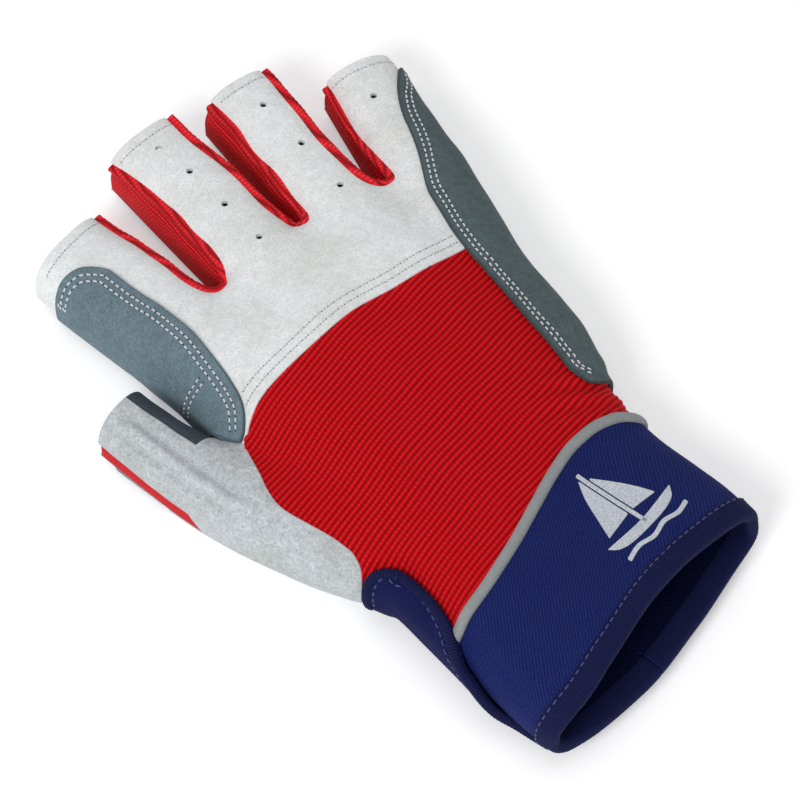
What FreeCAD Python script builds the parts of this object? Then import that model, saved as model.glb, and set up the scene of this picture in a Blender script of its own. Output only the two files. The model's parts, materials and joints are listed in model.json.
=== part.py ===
import FreeCAD, Part
import math
import os

# Short-finger sailing glove, right hand, lying palm down.
# +Y runs to the fingertips, +X to the little finger, +Z up out of the back of
# the hand. The origin is on the flat underside of the palm reinforcement,
# below the middle of the palm. All dimensions are in millimetres.

V = FreeCAD.Vector
os.makedirs("parts", exist_ok=True)

# ---------------------------------------------------------------- dimensions
LEATHER_T = 1.5        # suede shell of palm, knuckles and thumb, with its lining
FABRIC_T = 1.5         # rib-knit back and finger side walls
NEOPRENE_T = 3.0       # cuff
PATCH_T = 1.1          # nubuck side patches, sewn over the shell
PATCH_LIFT = 0.15      # seam allowance between a patch and what it covers
OVERLAY_T = 1.4        # palm reinforcement layer, the face the glove rests on
PLANE_GAP = 0.3        # clear width left at a sewn butt seam
SIDE_SEAM_Z = 12.0     # height of the seam between back and palm pieces
HINGE_Z = 0.0          # the fingers fold about their palm-side root line
HINGE_FRONT = 1.0      # first material ahead of a finger's fold line
HINGE_BACK = 0.6       # last material behind it
STRAP_T = 2.6          # closure strap, neoprene
STRAP_LIFT = 2.2       # room for hook and loop between strap and cuff
STRAP_HINGE_X = 20.0   # stitch line the strap opens about
STRAP_TOP_Z = 18.0     # height of the strap's free edge on the thumb side
SLIT_X = (-8.7, -5.3)  # opening in the palm side of the cuff
PIPING_R = 1.5         # half width of the piping
BINDING_W = 6.0        # width of the rim binding
ZC = 0.42              # height of the widest line, as a part of the thickness
N_TOP = 2.35           # roundness of the upper half of a section
N_BOT = 4.5            # flatness of the lower half
SECTION_POINTS = 32

# hand sections: y, thumb side x, little-finger side x, top z, bottom z
HAND = [(-136, -50.5, 45.0, 32.5, 6.0), (-120, -50.5, 45.5, 33.0, 6.0), (-108, -50.5, 45.0, 33.5, 6.0),
        (-95, -50.5, 44.0, 33.2, 6.0), (-80, -50.0, 42.0, 32.0, 6.0), (-62, -50.0, 39.5, 31.0, 6.0),
        (-52, -50.2, 40.0, 31.2, 6.0), (-44, -50.6, 41.2, 31.8, 5.2), (-36, -51.3, 44.0, 32.7, 3.7),
        (-28, -51.9, 46.7, 33.6, 2.4), (-20, -52.3, 48.3, 34.3, 1.75), (-11, -52.6, 49.2, 34.5, 1.6), (0, -53.0, 50.0, 34.5, 1.6), (15, -53.0, 52.0, 33.5, 1.6),
        (30, -52.3, 55.6, 30.6, 1.6), (42, -52.0, 58.4, 26.6, 1.6), (58, -52.5, 60.5, 22.0, 1.6)]

# fingers: fold-line centre, tip centre, half widths and tops at the two ends
FINGERS = {
    "index": ((-40.6, 52.0), (-48.0, 92.0), (13.7, 13.6), (25.6, 22.0)),
    "middle": ((-6.4, 52.5), (-5.0, 108.5), (13.3, 12.8), (26.2, 22.3)),
    "ring": ((22.2, 51.5), (24.7, 104.5), (12.1, 11.7), (26.0, 22.2)),
    "little": ((49.6, 46.5), (59.0, 86.5), (11.2, 10.8), (24.2, 21.0)),
}
STRIP_HALF = {"index": 9.4, "middle": 9.6, "ring": 8.8, "little": 8.2}   # leather strip on each finger's back
# finger roots inside the hand: distance behind the fold line, half width, top
ROOTS = {
    "index": [(-34.0, 12.0, 27.0), (-22.0, 13.4, 28.2), (-10.0, 13.7, 27.0)],
    "middle": [(-34.0, 12.6, 32.5), (-20.0, 13.4, 30.4), (-9.0, 13.4, 28.0)],
    "ring": [(-34.0, 12.0, 32.0), (-20.0, 12.6, 30.0), (-9.0, 12.4, 27.8)],
    "little": [(-32.0, 10.6, 28.0), (-20.0, 11.6, 27.6), (-9.0, 11.4, 26.0)],
}
# small round perforations on the finger backs
PERFORATIONS = {"middle": [(-6.1, 100.6), (-4.9, 88.0), (-4.6, 72.4), (-4.7, 56.3)],
                "ring": [(26.4, 92.2), (26.0, 74.4), (24.2, 54.9)], "little": [(53.9, 73.9)]}
PERFORATION_R = 0.8
BACK_CUT_Z = 12.0
WALL_LOW_Z = 4.9
PALM_TOP_Z = 4.6

# thumb base sections: x, y, half width, top, bottom; thumb stall: fold line and tip
THUMB_BASE = [(-41.0, -54.0, 9.0, 21.0, 6.0), (-45.5, -44.0, 11.5, 23.5, 5.2), (-50.5, -28.0, 13.6, 26.3, 2.4),
              (-55.0, -16.0, 13.6, 26.6, 1.7), (-60.0, -2.0, 12.4, 25.6, 1.6), (-65.4, 14.0, 10.6, 24.0, 1.6),
              (-66.5, 20.0, 10.5, 23.6, 1.6)]
THUMB_AXIS = ((-65.4, 14.0), (-69.7, 42.0))
THUMB_HALF = (10.6, 10.4)
THUMB_TOP = (24.0, 21.5)

# seams seen from above
SEAM_BACK = [(75, 8), (60, 10.5), (48, 12), (34.2, 13.0), (13.0, 14.7), (-1.2, 16.6), (-13.0, 16.7),
             (-25.1, 15.9), (-34.4, 15.0), (-41.3, 13.7), (-46.0, 11.6), (-49.8, 8.6), (-53.0, 3.0)]
RED_LEFT = [(-53.0, 3.0), (-54.4, 0.0), (-55.7, -3.8), (-57.3, -8.3), (-58.4, -13.3), (-57.8, -17.8),
            (-56.2, -23.9), (-53.6, -31.0), (-52.4, -36.4), (-53.0, -42.0), (-58.0, -48.0), (-70.0, -52.0)]
PIPING = [(80, -68), (60, -66), (44, -62), (36, -58.6), (25, -56.2), (10, -58.2), (-6, -64.4), (-20, -70),
          (-32, -73.6), (-44, -76), (-60, -78), (-80, -80)]
RIM = [(80, -105), (60, -105.5), (40, -106), (20, -107), (0, -110.5), (-20, -116.5), (-38, -121.5),
       (-60, -126), (-80, -129)]
ULNAR_EDGE = [(70, 82), (64.5, 75.2), (59.5, 68.9), (56.0, 62.6), (53.3, 56.0), (50.0, 49.0), (46.2, 42.2),
              (42.4, 35.7), (40.1, 28.5), (37.6, 20.1), (36.2, 13.1), (35.1, 4.0), (34.2, -5.9),
              (33.4, -16.7), (33.2, -26.7), (32.4, -35.2), (33.4, -41.0), (37.0, -43.6), (42.0, -44.0), (75, -44.0)]
INDEX_EDGE = [(-85, 81.0), (-62, 81.5), (-58.1, 83.8), (-55.1, 84.6), (-51.5, 84.2), (-47.8, 82.0), (-44.9, 77.8),
              (-44.0, 73.0), (-43.3, 67.0), (-42.3, 61.0), (-41.4, 55.0), (-40.7, 48.8), (-40.8, 40.7),
              (-41.6, 32.1), (-42.7, 24.1), (-44.6, 17.5), (-47.2, 12.6), (-50.7, 9.4), (-54.0, 8.6), (-85, 8.6)]


# ------------------------------------------------------------------- helpers
def unit(a, b):
    dx, dy = b[0] - a[0], b[1] - a[1]
    d = math.hypot(dx, dy)
    return (dx / d, dy / d), d


def section(ox, oy, nx, ny, half, zb, zt, off):
    """closed flat curve in the upright plane through (ox, oy) along (nx, ny)"""
    zc = zb + (zt - zb) * ZC
    a, bt, bb = half - off, zt - zc - off, zc - zb - off
    pts = []
    for k in range(SECTION_POINTS):
        t = 2.0 * math.pi * k / SECTION_POINTS
        c, s = math.cos(t), math.sin(t)
        n, b = (N_TOP, bt) if s > 0 else (N_BOT, bb)
        r = (abs(c) ** n + abs(s) ** n) ** (-1.0 / n)
        pts.append(V(ox + nx * a * c * r, oy + ny * a * c * r, zc + b * s * r))
    curve = Part.BSplineCurve()
    curve.interpolate(Points=pts, PeriodicFlag=True)
    return Part.Wire([curve.toShape()])


def loft(wires):
    s = Part.makeLoft(wires, True, False)
    if s.Volume < 0:
        s.reverse()
    return s


def hand_loft(off, y0=-136.0, y1=58.0):
    rows = [r for r in HAND if y0 - 0.01 <= r[0] <= y1 + 0.01]
    return loft([section((r[1] + r[2]) / 2.0, r[0], 1.0, 0.0, (r[2] - r[1]) / 2.0, r[4], r[3], off) for r in rows])


def finger_frame(name):
    if name == "thumb":
        p, q = THUMB_AXIS
        hw, zt = THUMB_HALF, THUMB_TOP
    else:
        p, q, hw, zt = FINGERS[name]
    (dx, dy), length = unit(p, q)
    return p, (dx, dy), (dy, -dx), length, hw, zt


def finger_loft(name, off):
    p, d, n, length, hw, zt = finger_frame(name)
    wires = []
    for k in range(5):
        s = -4.0 + (length + 8.0) * k / 4.0
        f = s / length
        w = hw[0] + (hw[1] - hw[0]) * f
        z = zt[0] + (zt[1] - zt[0]) * f
        wires.append(section(p[0] + d[0] * s, p[1] + d[1] * s, n[0], n[1], w, 1.6, z, off))
    return loft(wires)


def root_loft(name, off):
    p, d, n, length, hw, zt = finger_frame(name)
    rows = ROOTS[name] + [(0.0, hw[0], zt[0]), (4.0, hw[0] + (hw[1] - hw[0]) * 4.0 / length, zt[0] + (zt[1] - zt[0]) * 4.0 / length)]
    return loft([section(p[0] + d[0] * s, p[1] + d[1] * s, n[0], n[1], w, 1.6, z, off) for s, w, z in rows])


def thumb_base_loft(off):
    rows = THUMB_BASE
    wires = []
    for i, r in enumerate(rows):
        a = rows[max(i - 1, 0)]
        b = rows[min(i + 1, len(rows) - 1)]
        (dx, dy), _ = unit(a, b)
        if i >= 5:
            p, (dx, dy), _n, _l, _h, _z = finger_frame("thumb")
        wires.append(section(r[0], r[1], dy, -dx, r[2], r[4], r[3], off))
    return loft(wires)


def curve_edge(points):
    c = Part.BSplineCurve()
    c.interpolate([V(x, y, 0) for x, y in points])
    return c.toShape()


def prism(chain, z0, z1):
    """upright prism; chain is a list of point lists, each a smooth curve (3 or
    more points) or a straight line, joined end to end and closed"""
    edges = []
    last = None
    first = None
    for pts in chain:
        if first is None:
            first = pts[0]
        if last is not None and math.hypot(pts[0][0] - last[0], pts[0][1] - last[1]) > 1e-6:
            edges.append(Part.makeLine(V(last[0], last[1], 0), V(pts[0][0], pts[0][1], 0)))
        if len(pts) > 2:
            edges.append(curve_edge(pts))
        elif len(pts) == 2 and math.hypot(pts[1][0] - pts[0][0], pts[1][1] - pts[0][1]) > 1e-6:
            edges.append(Part.makeLine(V(pts[0][0], pts[0][1], 0), V(pts[1][0], pts[1][1], 0)))
        last = pts[-1]
    if math.hypot(first[0] - last[0], first[1] - last[1]) > 1e-6:
        edges.append(Part.makeLine(V(last[0], last[1], 0), V(first[0], first[1], 0)))
    wire = Part.Wire(Part.__sortEdges__(edges))
    face = Part.Face(wire)
    solid = face.extrude(V(0, 0, z1 - z0))
    solid.translate(V(0, 0, z0))
    return solid


def poly(pts, z0, z1):
    v = [V(x, y, z0) for x, y in pts]
    return Part.Face(Part.makePolygon(v + [v[0]])).extrude(V(0, 0, z1 - z0))


def shift(points, dx, dy):
    return [(x + dx, y + dy) for x, y in points]


def local_poly(name, s0, s1, l0, l1, z0, z1):
    p, d, n, _l, _h, _z = finger_frame(name)
    c = [(s0, l0), (s0, l1), (s1, l1), (s1, l0)]
    return poly([(p[0] + d[0] * s + n[0] * l, p[1] + d[1] * s + n[1] * l) for s, l in c], z0, z1)


def local_plate(name, s0, s1, half, r, z0, z1):
    """flat plate with rounded corners in a finger's own frame"""
    p, d, n, _l, _h, _z = finger_frame(name)
    pts = []
    for cs, cl, a0 in ((s1 - r, half - r, 0.0), (s1 - r, -half + r, -90.0), (s0 + r, -half + r, -180.0), (s0 + r, half - r, -270.0)):
        for k in range(7):
            a = math.radians(a0 + 90.0 - 15.0 * k)
            pts.append((cs + r * math.cos(a), cl + r * math.sin(a)))
    return poly([(p[0] + d[0] * s + n[0] * l, p[1] + d[1] * s + n[1] * l) for s, l in pts], z0, z1)


def slab(z0, z1):
    return Part.makeBox(300, 400, z1 - z0, V(-150, -220, z0))


def keep(shape, *tools):
    for t in tools:
        shape = shape.common(t)
    return shape


def save(name, shape):
    solids = sorted(shape.Solids, key=lambda s: -s.Volume)
    if not solids:
        raise RuntimeError("no solid in " + name)
    main = solids[0]
    if len(solids) > 1 and solids[1].Volume > 0.02 * main.Volume:
        print("note: %s has %d solids, volumes %s" % (name, len(solids), [round(s.Volume, 1) for s in solids[:4]]))
    if main.Volume < 0:
        main.reverse()
    if not main.isValid():
        main.fix(1e-4, 1e-4, 1e-3)
        print("fixed", name, main.isValid())
    main.exportStep("parts/%s.step" % name)
    b = main.optimalBoundingBox(False)
    print("%-28s vol %8.0f  x %6.1f %6.1f  y %7.1f %6.1f  z %5.1f %5.1f" % (
        name, main.Volume, b.XMin, b.XMax, b.YMin, b.YMax, b.ZMin, b.ZMax))


# ---------------------------------------------------------------- hand: front
def front_points(back):
    """the line just behind the four fold lines, from the thumb side to the little-finger side"""
    pts = []
    for name, lo, hi in (("index", -16.0, 17.0), ("middle", -15.4, 15.2), ("ring", -13.4, 12.6), ("little", -12.4, 14.0)):
        p, d, n, _l, _h, _z = finger_frame(name)
        for l in (lo, hi):
            pts.append((p[0] + n[0] * l - d[0] * back, p[1] + n[1] * l - d[1] * back))
    return pts


FRONT = front_points(HINGE_BACK)


def front_region(y_low, z0, z1, x0=-90.0, x1=90.0):
    pts = [(x0, y_low), (x0, FRONT[0][1])] + FRONT + [(x1, FRONT[-1][1]), (x1, y_low)]
    return poly(pts, z0, z1)


FAR = 90.0
hand_out = hand_loft(0.0)
hand_in = hand_loft(LEATHER_T)
thumb_out = thumb_base_loft(0.0)
thumb_in = thumb_base_loft(LEATHER_T)
tp, td, tn, tlen, _h, _z = finger_frame("thumb")
# the thumb base stops just behind the thumb's own fold line
thumb_stop = poly([(tp[0] + tn[0] * l + td[0] * s, tp[1] + tn[1] * l + td[1] * s)
                   for s, l in ((-HINGE_BACK, -30.0), (-HINGE_BACK, 16.0), (-120.0, 60.0), (-120.0, -60.0))], -5, 60)
thumb_out = thumb_out.common(thumb_stop)
body_out = hand_out.fuse([thumb_out] + [root_loft(f, 0.0) for f in FINGERS])
body_in = hand_in.fuse([thumb_in] + [root_loft(f, LEATHER_T) for f in FINGERS])
print("body solids", len(body_out.Solids), len(body_in.Solids))

region_front = front_region(-140.0, -5, 60)
seam_hi = shift(SEAM_BACK, 0.0, PLANE_GAP / 2)
seam_lo = shift(SEAM_BACK, 0.0, -PLANE_GAP / 2)

# white suede over the knuckles
knuckle_zone = prism([seam_hi, [(-53.0, 3.0 + PLANE_GAP / 2), (-53.6, 8.6)], [(-53.6, 8.6), (-53.6, 14.0)], [(-53.6, 14.0), (-90, 14.0)], [(-90, 14.0), (-90, 70)], [(-90, 70), (90, 70)], [(90, 70), (75, 8.15)]],
                     SIDE_SEAM_Z + PLANE_GAP / 2, 60)
knuckle = keep(body_out, region_front, knuckle_zone).cut(body_in)
save("knuckle_leather_panel", knuckle)

# rib-knit back
red_zone = prism([seam_lo, shift(RED_LEFT, 0.0, -PLANE_GAP / 2)[0:1] + shift(RED_LEFT, PLANE_GAP, -PLANE_GAP / 2)[1:],
                  [(-70.0 + PLANE_GAP, -52.15), (-75, -77.0 + PIPING_R)],
                  [(-75, -77.0 + PIPING_R)] + shift(PIPING[::-1][1:-1], 0, PIPING_R + PLANE_GAP / 2) + [(78, -66)],
                  [(78, -66), (75, 7.85)]], SIDE_SEAM_Z + PLANE_GAP / 2, 60)
red = keep(body_out, red_zone).cut(body_in)
save("stretch_back_panel", red)

# thumb base, back half: light suede from the red seam round to the gusset
GUSSET_END = -8.0
thenar_zone = prism([[(-53.0 - 0.6, 3.0), (-53.6, 14.0)], [(-53.6, 14.0), (-53.6, 20.0)], [(-53.6, 20.0), (-95, 20.0)], [(-95, 20.0), (-95, -60)],
                     [(-95, -60), (-70.0, -52.0)], shift(RED_LEFT, -PLANE_GAP / 2, 0)[::-1][0:-1] + [(-53.6, 3.0)]],
                    SIDE_SEAM_Z + PLANE_GAP / 2, 60)
thenar = keep(body_out, thenar_zone).cut(body_in)
save("thumb_base_back_leather", thenar)

# palm leather and the palm side of the thumb base, parted along the thumb quirk
PALM_BACK_Y = -56.0
quirk = [(-53.6, 14.0), (-53.0, 6.0), (-48.0, -6.0), (-44.0, -20.0), (-41.5, -34.0), (-41.0, -46.0), (-41.5, -62.0)]
palm_zone = prism([shift(quirk, PLANE_GAP / 2, 0), [(-41.35, -62.0), (90, -62.0)],
                   [(90, -62.0), (90, 70)], [(90, 70), (-90, 70)], [(-90, 70), (-90, 14.0)], [(-90, 14.0), (-53.45, 14.0)]],
                  -5, SIDE_SEAM_Z - PLANE_GAP / 2)
palm = keep(body_out, region_front, palm_zone, poly([(-90, PALM_BACK_Y), (90, PALM_BACK_Y), (90, 80), (-90, 80)], -5, 60)).cut(body_in)
save("palm_leather", palm)
heel_zone = prism([shift(quirk, -PLANE_GAP / 2, 0), [(-41.65, -62.0), (-95, -62.0)], [(-95, -62.0), (-95, 14.0)], [(-95, 14.0), (-53.75, 14.0)]],
                  -5, SIDE_SEAM_Z - PLANE_GAP / 2)
gusset_zone = poly([(-95, GUSSET_END), (-56, GUSSET_END), (-60, 25), (-95, 25)], 5.0, SIDE_SEAM_Z - PLANE_GAP / 2)
gusset_room = poly([(-95, GUSSET_END - PLANE_GAP), (-56 + PLANE_GAP, GUSSET_END - PLANE_GAP), (-60 + PLANE_GAP, 25), (-95, 25)], 5.0 - PLANE_GAP, SIDE_SEAM_Z + 1)
heel = keep(body_out, heel_zone, poly([(-95, PALM_BACK_Y), (90, PALM_BACK_Y), (90, 80), (-95, 80)], -5, 60)).cut(body_in)
outer_side = poly([(-95, -60), (-62, -60), (-58, -20), (-62, -2), (-66, 25), (-95, 25)], -5, 60)
heel_main = heel.cut(gusset_room.common(outer_side))
save("thumb_base_palm_leather", heel_main)
save("thumb_base_gusset", heel.common(gusset_zone).common(outer_side))

# palm reinforcement: the flat layer the glove rests on
rein = prism([[(-36.0, -16.0), (-33.0, -24.0), (-24.0, -29.0), (-10.0, -30.5), (8.0, -30.5), (24.0, -30.0), (35.0, -26.0), (39.0, -18.0)],
              [(39.0, -18.0), (40.5, 0.0), (42.5, 16.0), (46.5, 32.0), (52.0, 42.0)],
              [(52.0, 42.0), (52.0, 60.0)], [(52.0, 60.0), (-47.5, 60.0)],
              [(-47.5, 60.0), (-45.5, 40.0), (-43.5, 20.0), (-41.0, 2.0), (-36.0, -16.0)]], 0.0, OVERLAY_T)
rein = rein.common(front_region(-60, -5, 10, -60, 60))
save("palm_reinforcement", rein)

# side patches on the hand
lift, top = -PATCH_LIFT, -PATCH_LIFT - PATCH_T
patch_out = hand_loft(top, -62.0, 58.0).fuse([root_loft(f, top) for f in FINGERS])
patch_in = hand_loft(lift, -62.0, 58.0).fuse([root_loft(f, lift) for f in FINGERS])
ulnar_zone = prism([ULNAR_EDGE, [(75, -44.0), (90, -44.0)], [(90, -44.0), (90, 82)], [(90, 82), (70, 82)]], 3.0, 60)
save("ulnar_side_patch", keep(patch_out, region_front, ulnar_zone).cut(patch_in))
index_zone = prism([INDEX_EDGE, [(-85, 8.6), (-90, 8.6)], [(-90, 8.6), (-90, 81.0)], [(-90, 81.0), (-85, 81.0)]], 3.0, 60)
CROTCH_LINE_Y = 31.0
above = poly([(-95, CROTCH_LINE_Y + 0.2), (90, CROTCH_LINE_Y + 0.2), (90, 120), (-95, 120)], -5, 60)
below = poly([(-95, -30), (90, -30), (90, CROTCH_LINE_Y - 0.2), (-95, CROTCH_LINE_Y - 0.2)], -5, 60)
thumb_room = thumb_base_loft(-0.35)
index_hand = keep(patch_out, region_front, index_zone).cut(patch_in)
save("index_side_patch_root", index_hand.common(above))
save("index_crotch_patch", keep(index_hand, below, poly([(-95, 15.6), (0, 15.6), (0, 60), (-95, 60)], -5, 60).fuse(slab(15.0, 60))).cut(thumb_room))

# U-shaped webs between the fingers
inner_core = hand_loft(LEATHER_T + 0.35)
webs = {"web_index_middle": (("index", 1), ("middle", -1)), "web_middle_ring": (("middle", 1), ("ring", -1)),
        "web_ring_little": (("ring", 1), ("little", -1))}
for name, ((fa, sa), (fb, sb)) in webs.items():
    pa, da, na, _l, ha, _z = finger_frame(fa)
    pb, db, nb, _l, hb, _z = finger_frame(fb)
    ax, ay = pa[0] + na[0] * sa * (ha[0] - 1.6), pa[1] + na[1] * sa * (ha[0] - 1.6)
    bx, by = pb[0] + nb[0] * sb * (hb[0] - 1.6), pb[1] + nb[1] * sb * (hb[0] - 1.6)
    cx, cy = (ax + bx) / 2.0, min(ay, by) - HINGE_BACK - 0.2
    r = (bx - ax) / 2.0
    ring = Part.makeCylinder(r, 40, V(cx, cy, 0)).cut(Part.makeCylinder(r - FABRIC_T, 40, V(cx, cy, 0)))
    ring = ring.common(Part.makeBox(60, 30, 40, V(cx - 30, cy - 30, 0)))
    save(name, ring.common(inner_core))

# ------------------------------------------------------------------- fingers
for name in ("index", "middle", "ring", "little"):
    p, d, n, length, hw, zt = finger_frame(name)
    out, inn = finger_loft(name, 0.0), finger_loft(name, LEATHER_T)
    s0, s1, h = HINGE_FRONT, length, STRIP_HALF[name]
    lo = -40.0 if name == "index" else -h
    hi = 40.0 if name == "little" else h
    zlow = WALL_LOW_Z if name in ("index", "little") else BACK_CUT_Z
    back = out.common(local_poly(name, s0, s1, lo, hi, zlow, 60)).cut(inn)
    for x, y in PERFORATIONS.get(name, []):
        back = back.cut(Part.makeCylinder(PERFORATION_R, 60, V(x, y, BACK_CUT_Z)))
    save(name + "_back_leather", back)
    if name != "index":
        save(name + "_wall_thumb_side", out.common(local_poly(name, s0, s1 - 0.8, -40, -h - PLANE_GAP, WALL_LOW_Z, 60)).cut(inn))
    if name != "little":
        save(name + "_wall_little_side", out.common(local_poly(name, s0, s1 - 0.8, h + PLANE_GAP, 40, WALL_LOW_Z, 60)).cut(inn))
    save(name + "_palm_leather", out.common(local_poly(name, s0, s1, -40, 40, -1, PALM_TOP_Z)).cut(inn))
    save(name + "_palm_overlay", local_plate(name, s0 + 0.5, s1 - 3.0, hw[1] - 3.6, 3.0, 0.0, OVERLAY_T))
    if name in ("index", "little"):
        po, pi = finger_loft(name, -PATCH_LIFT - PATCH_T), finger_loft(name, -PATCH_LIFT)
        zone = index_zone if name == "index" else ulnar_zone
        save(name + "_side_patch", po.common(local_poly(name, s0, s1 - 1.0, -40, 40, 3.0, 60)).common(zone).cut(pi))

# --------------------------------------------------------------------- thumb
out, inn = finger_loft("thumb", 0.0), finger_loft("thumb", LEATHER_T)
s0, s1 = HINGE_FRONT, tlen
save("thumb_back_leather", out.common(local_poly("thumb", s0, s1, -40, 3.0, SIDE_SEAM_Z + PLANE_GAP / 2, 60)).cut(inn))
save("thumb_crotch_patch", out.common(local_poly("thumb", s0, s1, 3.0 + PLANE_GAP, 40, WALL_LOW_Z, 60)).cut(inn))
save("thumb_gusset", out.common(local_poly("thumb", s0, s1 - 0.8, -40, 0.0, 5.0, SIDE_SEAM_Z - PLANE_GAP / 2)).cut(inn))
save("thumb_palm_leather", out.common(local_poly("thumb", s0, s1, -40, 40, -1, PALM_TOP_Z)).cut(inn))
save("thumb_palm_overlay", local_plate("thumb", s0 + 0.5, s1 - 3.0, 7.2, 3.0, 0.0, OVERLAY_T))

# ---------------------------------------------------------------------- cuff
cuff_in = hand_loft(NEOPRENE_T)
cuff_zone = prism([shift(PIPING, 0, -PIPING_R - PLANE_GAP / 2), RIM[::-1]], -5, 60)
cuff_ring = keep(hand_out, cuff_zone).cut(cuff_in)
CUFF_SPLIT_Z = 13.0
save("cuff_back_band", cuff_ring.common(slab(CUFF_SPLIT_Z + 0.15, 60)))
cuff_low = cuff_ring.common(slab(-5, CUFF_SPLIT_Z - 0.15))
save("cuff_palm_band_little_side", cuff_low.common(Part.makeBox(200, 200, 60, V(SLIT_X[1], -180, -5))))
save("cuff_palm_band_thumb_side", cuff_low.common(Part.makeBox(200, 200, 60, V(SLIT_X[0] - 200, -180, -5))))

pipe_out, pipe_in = hand_loft(-0.9), hand_loft(1.4)
pipe_zone = prism([shift(PIPING, 0, PIPING_R - PLANE_GAP / 2), shift(PIPING, 0, -PIPING_R + PLANE_GAP / 2)[::-1]], CUFF_SPLIT_Z + 0.15, 60)
save("cuff_piping", keep(pipe_out, pipe_zone).cut(pipe_in))

# rim binding: a channel folded over the edge of the cuff, open at the palm slit
bind_out, bind_in = hand_loft(-1.0), hand_loft(NEOPRENE_T + 1.0)
room_out, room_in = hand_loft(-0.15), hand_loft(NEOPRENE_T + 0.15)
bind_zone = prism([shift(RIM, 0, BINDING_W), shift(RIM, 0, -1.4)[::-1]], -5, 60)
room_zone = prism([shift(RIM, 0, BINDING_W + 20), shift(RIM, 0, -0.15)[::-1]], -5, 60)
binding = keep(bind_out, bind_zone).cut(bind_in)
binding = binding.cut(keep(room_out, room_zone).cut(room_in))
slit_box = Part.makeBox(SLIT_X[1] - SLIT_X[0], 200, 14, V(SLIT_X[0], -180, -5))
save("cuff_rim_binding", binding.cut(slit_box))

# --------------------------------------------------------------------- strap
strap_out, strap_in = hand_loft(-STRAP_LIFT - STRAP_T), hand_loft(-STRAP_LIFT)
STRAP_FRONT = [(-90, -45.0), (-56.0, -44.5), (-50.0, -46.0), (-42.0, -52.0), (-30.0, -60.0), (-12.0, -65.5), (4.0, -67.0), (STRAP_HINGE_X - 0.6, -67.5)]
STRAP_REAR = [(STRAP_HINGE_X - 0.6, -99.0), (4.0, -101.5), (-12.0, -106.0), (-30.0, -112.5), (-46.0, -116.5), (-56.0, -118.5), (-90, -119.0)]
strap_zone = prism([STRAP_FRONT, [(STRAP_HINGE_X - 0.6, -67.5), (STRAP_HINGE_X - 0.6, -99.0)], STRAP_REAR], -5, 60)


def side_prism(pts, x0, x1):
    v = [V(x0, y, z) for y, z in pts]
    return Part.Face(Part.makePolygon(v + [v[0]])).extrude(V(x1 - x0, 0, 0))


def tab_profile(top, grow):
    r = 8.0
    pts = [(-124.0, -4.0), (-44.0 + grow, -4.0)]
    cy, cz = -44.0 + grow - r - 0.5, top - r
    for k in range(0, 10):
        a = math.radians(10.0 * k)
        pts.append((cy + r * math.cos(a), cz + r * math.sin(a)))
    return pts + [(-124.0, top)]


thumb_side = Part.makeBox(200, 300, 80, V(-180, -200, -10))
strap_side = side_prism(tab_profile(STRAP_TOP_Z, 0.0), -120, 60)
upper_only = Part.makeBox(100, 200, 60, V(-134.0, -180, -10)).fuse(slab(-5, 6.0))
strap = keep(strap_out, strap_zone, strap_side, upper_only).cut(strap_in)
strap = strap.common(Part.makeBox(200, 200, 60, V(STRAP_HINGE_X - 0.6 - 200, -180, -5)))
# room for the heel of the thumb, and a shallow seat for the hook tape
HOOK_Z = 6.0 - STRAP_LIFT
strap = strap.cut(thumb_base_loft(-0.8))
strap = strap.cut(poly([(-36.4, -71.4), (-15.6, -75.6), (-15.6, -100.4), (-36.4, -106.6)], HOOK_Z - 0.1, HOOK_Z + 4.0))
save("closure_strap", strap)
eb_out, eb_in = hand_loft(-STRAP_LIFT - STRAP_T - 0.9), hand_loft(-STRAP_LIFT + 0.9)
er_out, er_in = hand_loft(-STRAP_LIFT - STRAP_T - 0.1), hand_loft(-STRAP_LIFT + 0.1)
edge_zone = side_prism([(-117.0, 12.6), (-54.0, 12.6), (-54.0, STRAP_TOP_Z + 1.1), (-117.0, STRAP_TOP_Z + 1.1)], -120, -34)
edge = keep(eb_out, edge_zone).cut(eb_in)
edge = edge.cut(keep(er_out, slab(-5, STRAP_TOP_Z + 0.1)).cut(er_in)).cut(thumb_base_loft(-0.8))
save("strap_edge_binding", edge)

# hook on the strap, loop on the cuff
hook = poly([(-36.0, -72.0), (-16.0, -76.0), (-16.0, -100.0), (-36.0, -106.0)], HOOK_Z + 0.1, HOOK_Z + 0.9)
save("strap_hook_patch", hook)
loop_plate = poly([(-38.0, -80.5), (-12.0, -77.5), (-12.0, -103.0), (-38.0, -111.0)], 6.0 - 0.9, 6.0 - 0.1)
save("cuff_loop_patch", loop_plate)

# plain raised sail emblem on the back of the cuff
em_out, em_in = hand_loft(-0.5), hand_loft(-0.1)
EMB_C, EMB_A, EMB_K = (10.5, -83.5), math.radians(10.0), 1.0


def emb(pts):
    out = []
    for x, y in pts:
        x, y = x * EMB_K, y * EMB_K
        out.append((EMB_C[0] + x * math.cos(EMB_A) - y * math.sin(EMB_A), EMB_C[1] + x * math.sin(EMB_A) + y * math.cos(EMB_A)))
    return out


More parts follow.
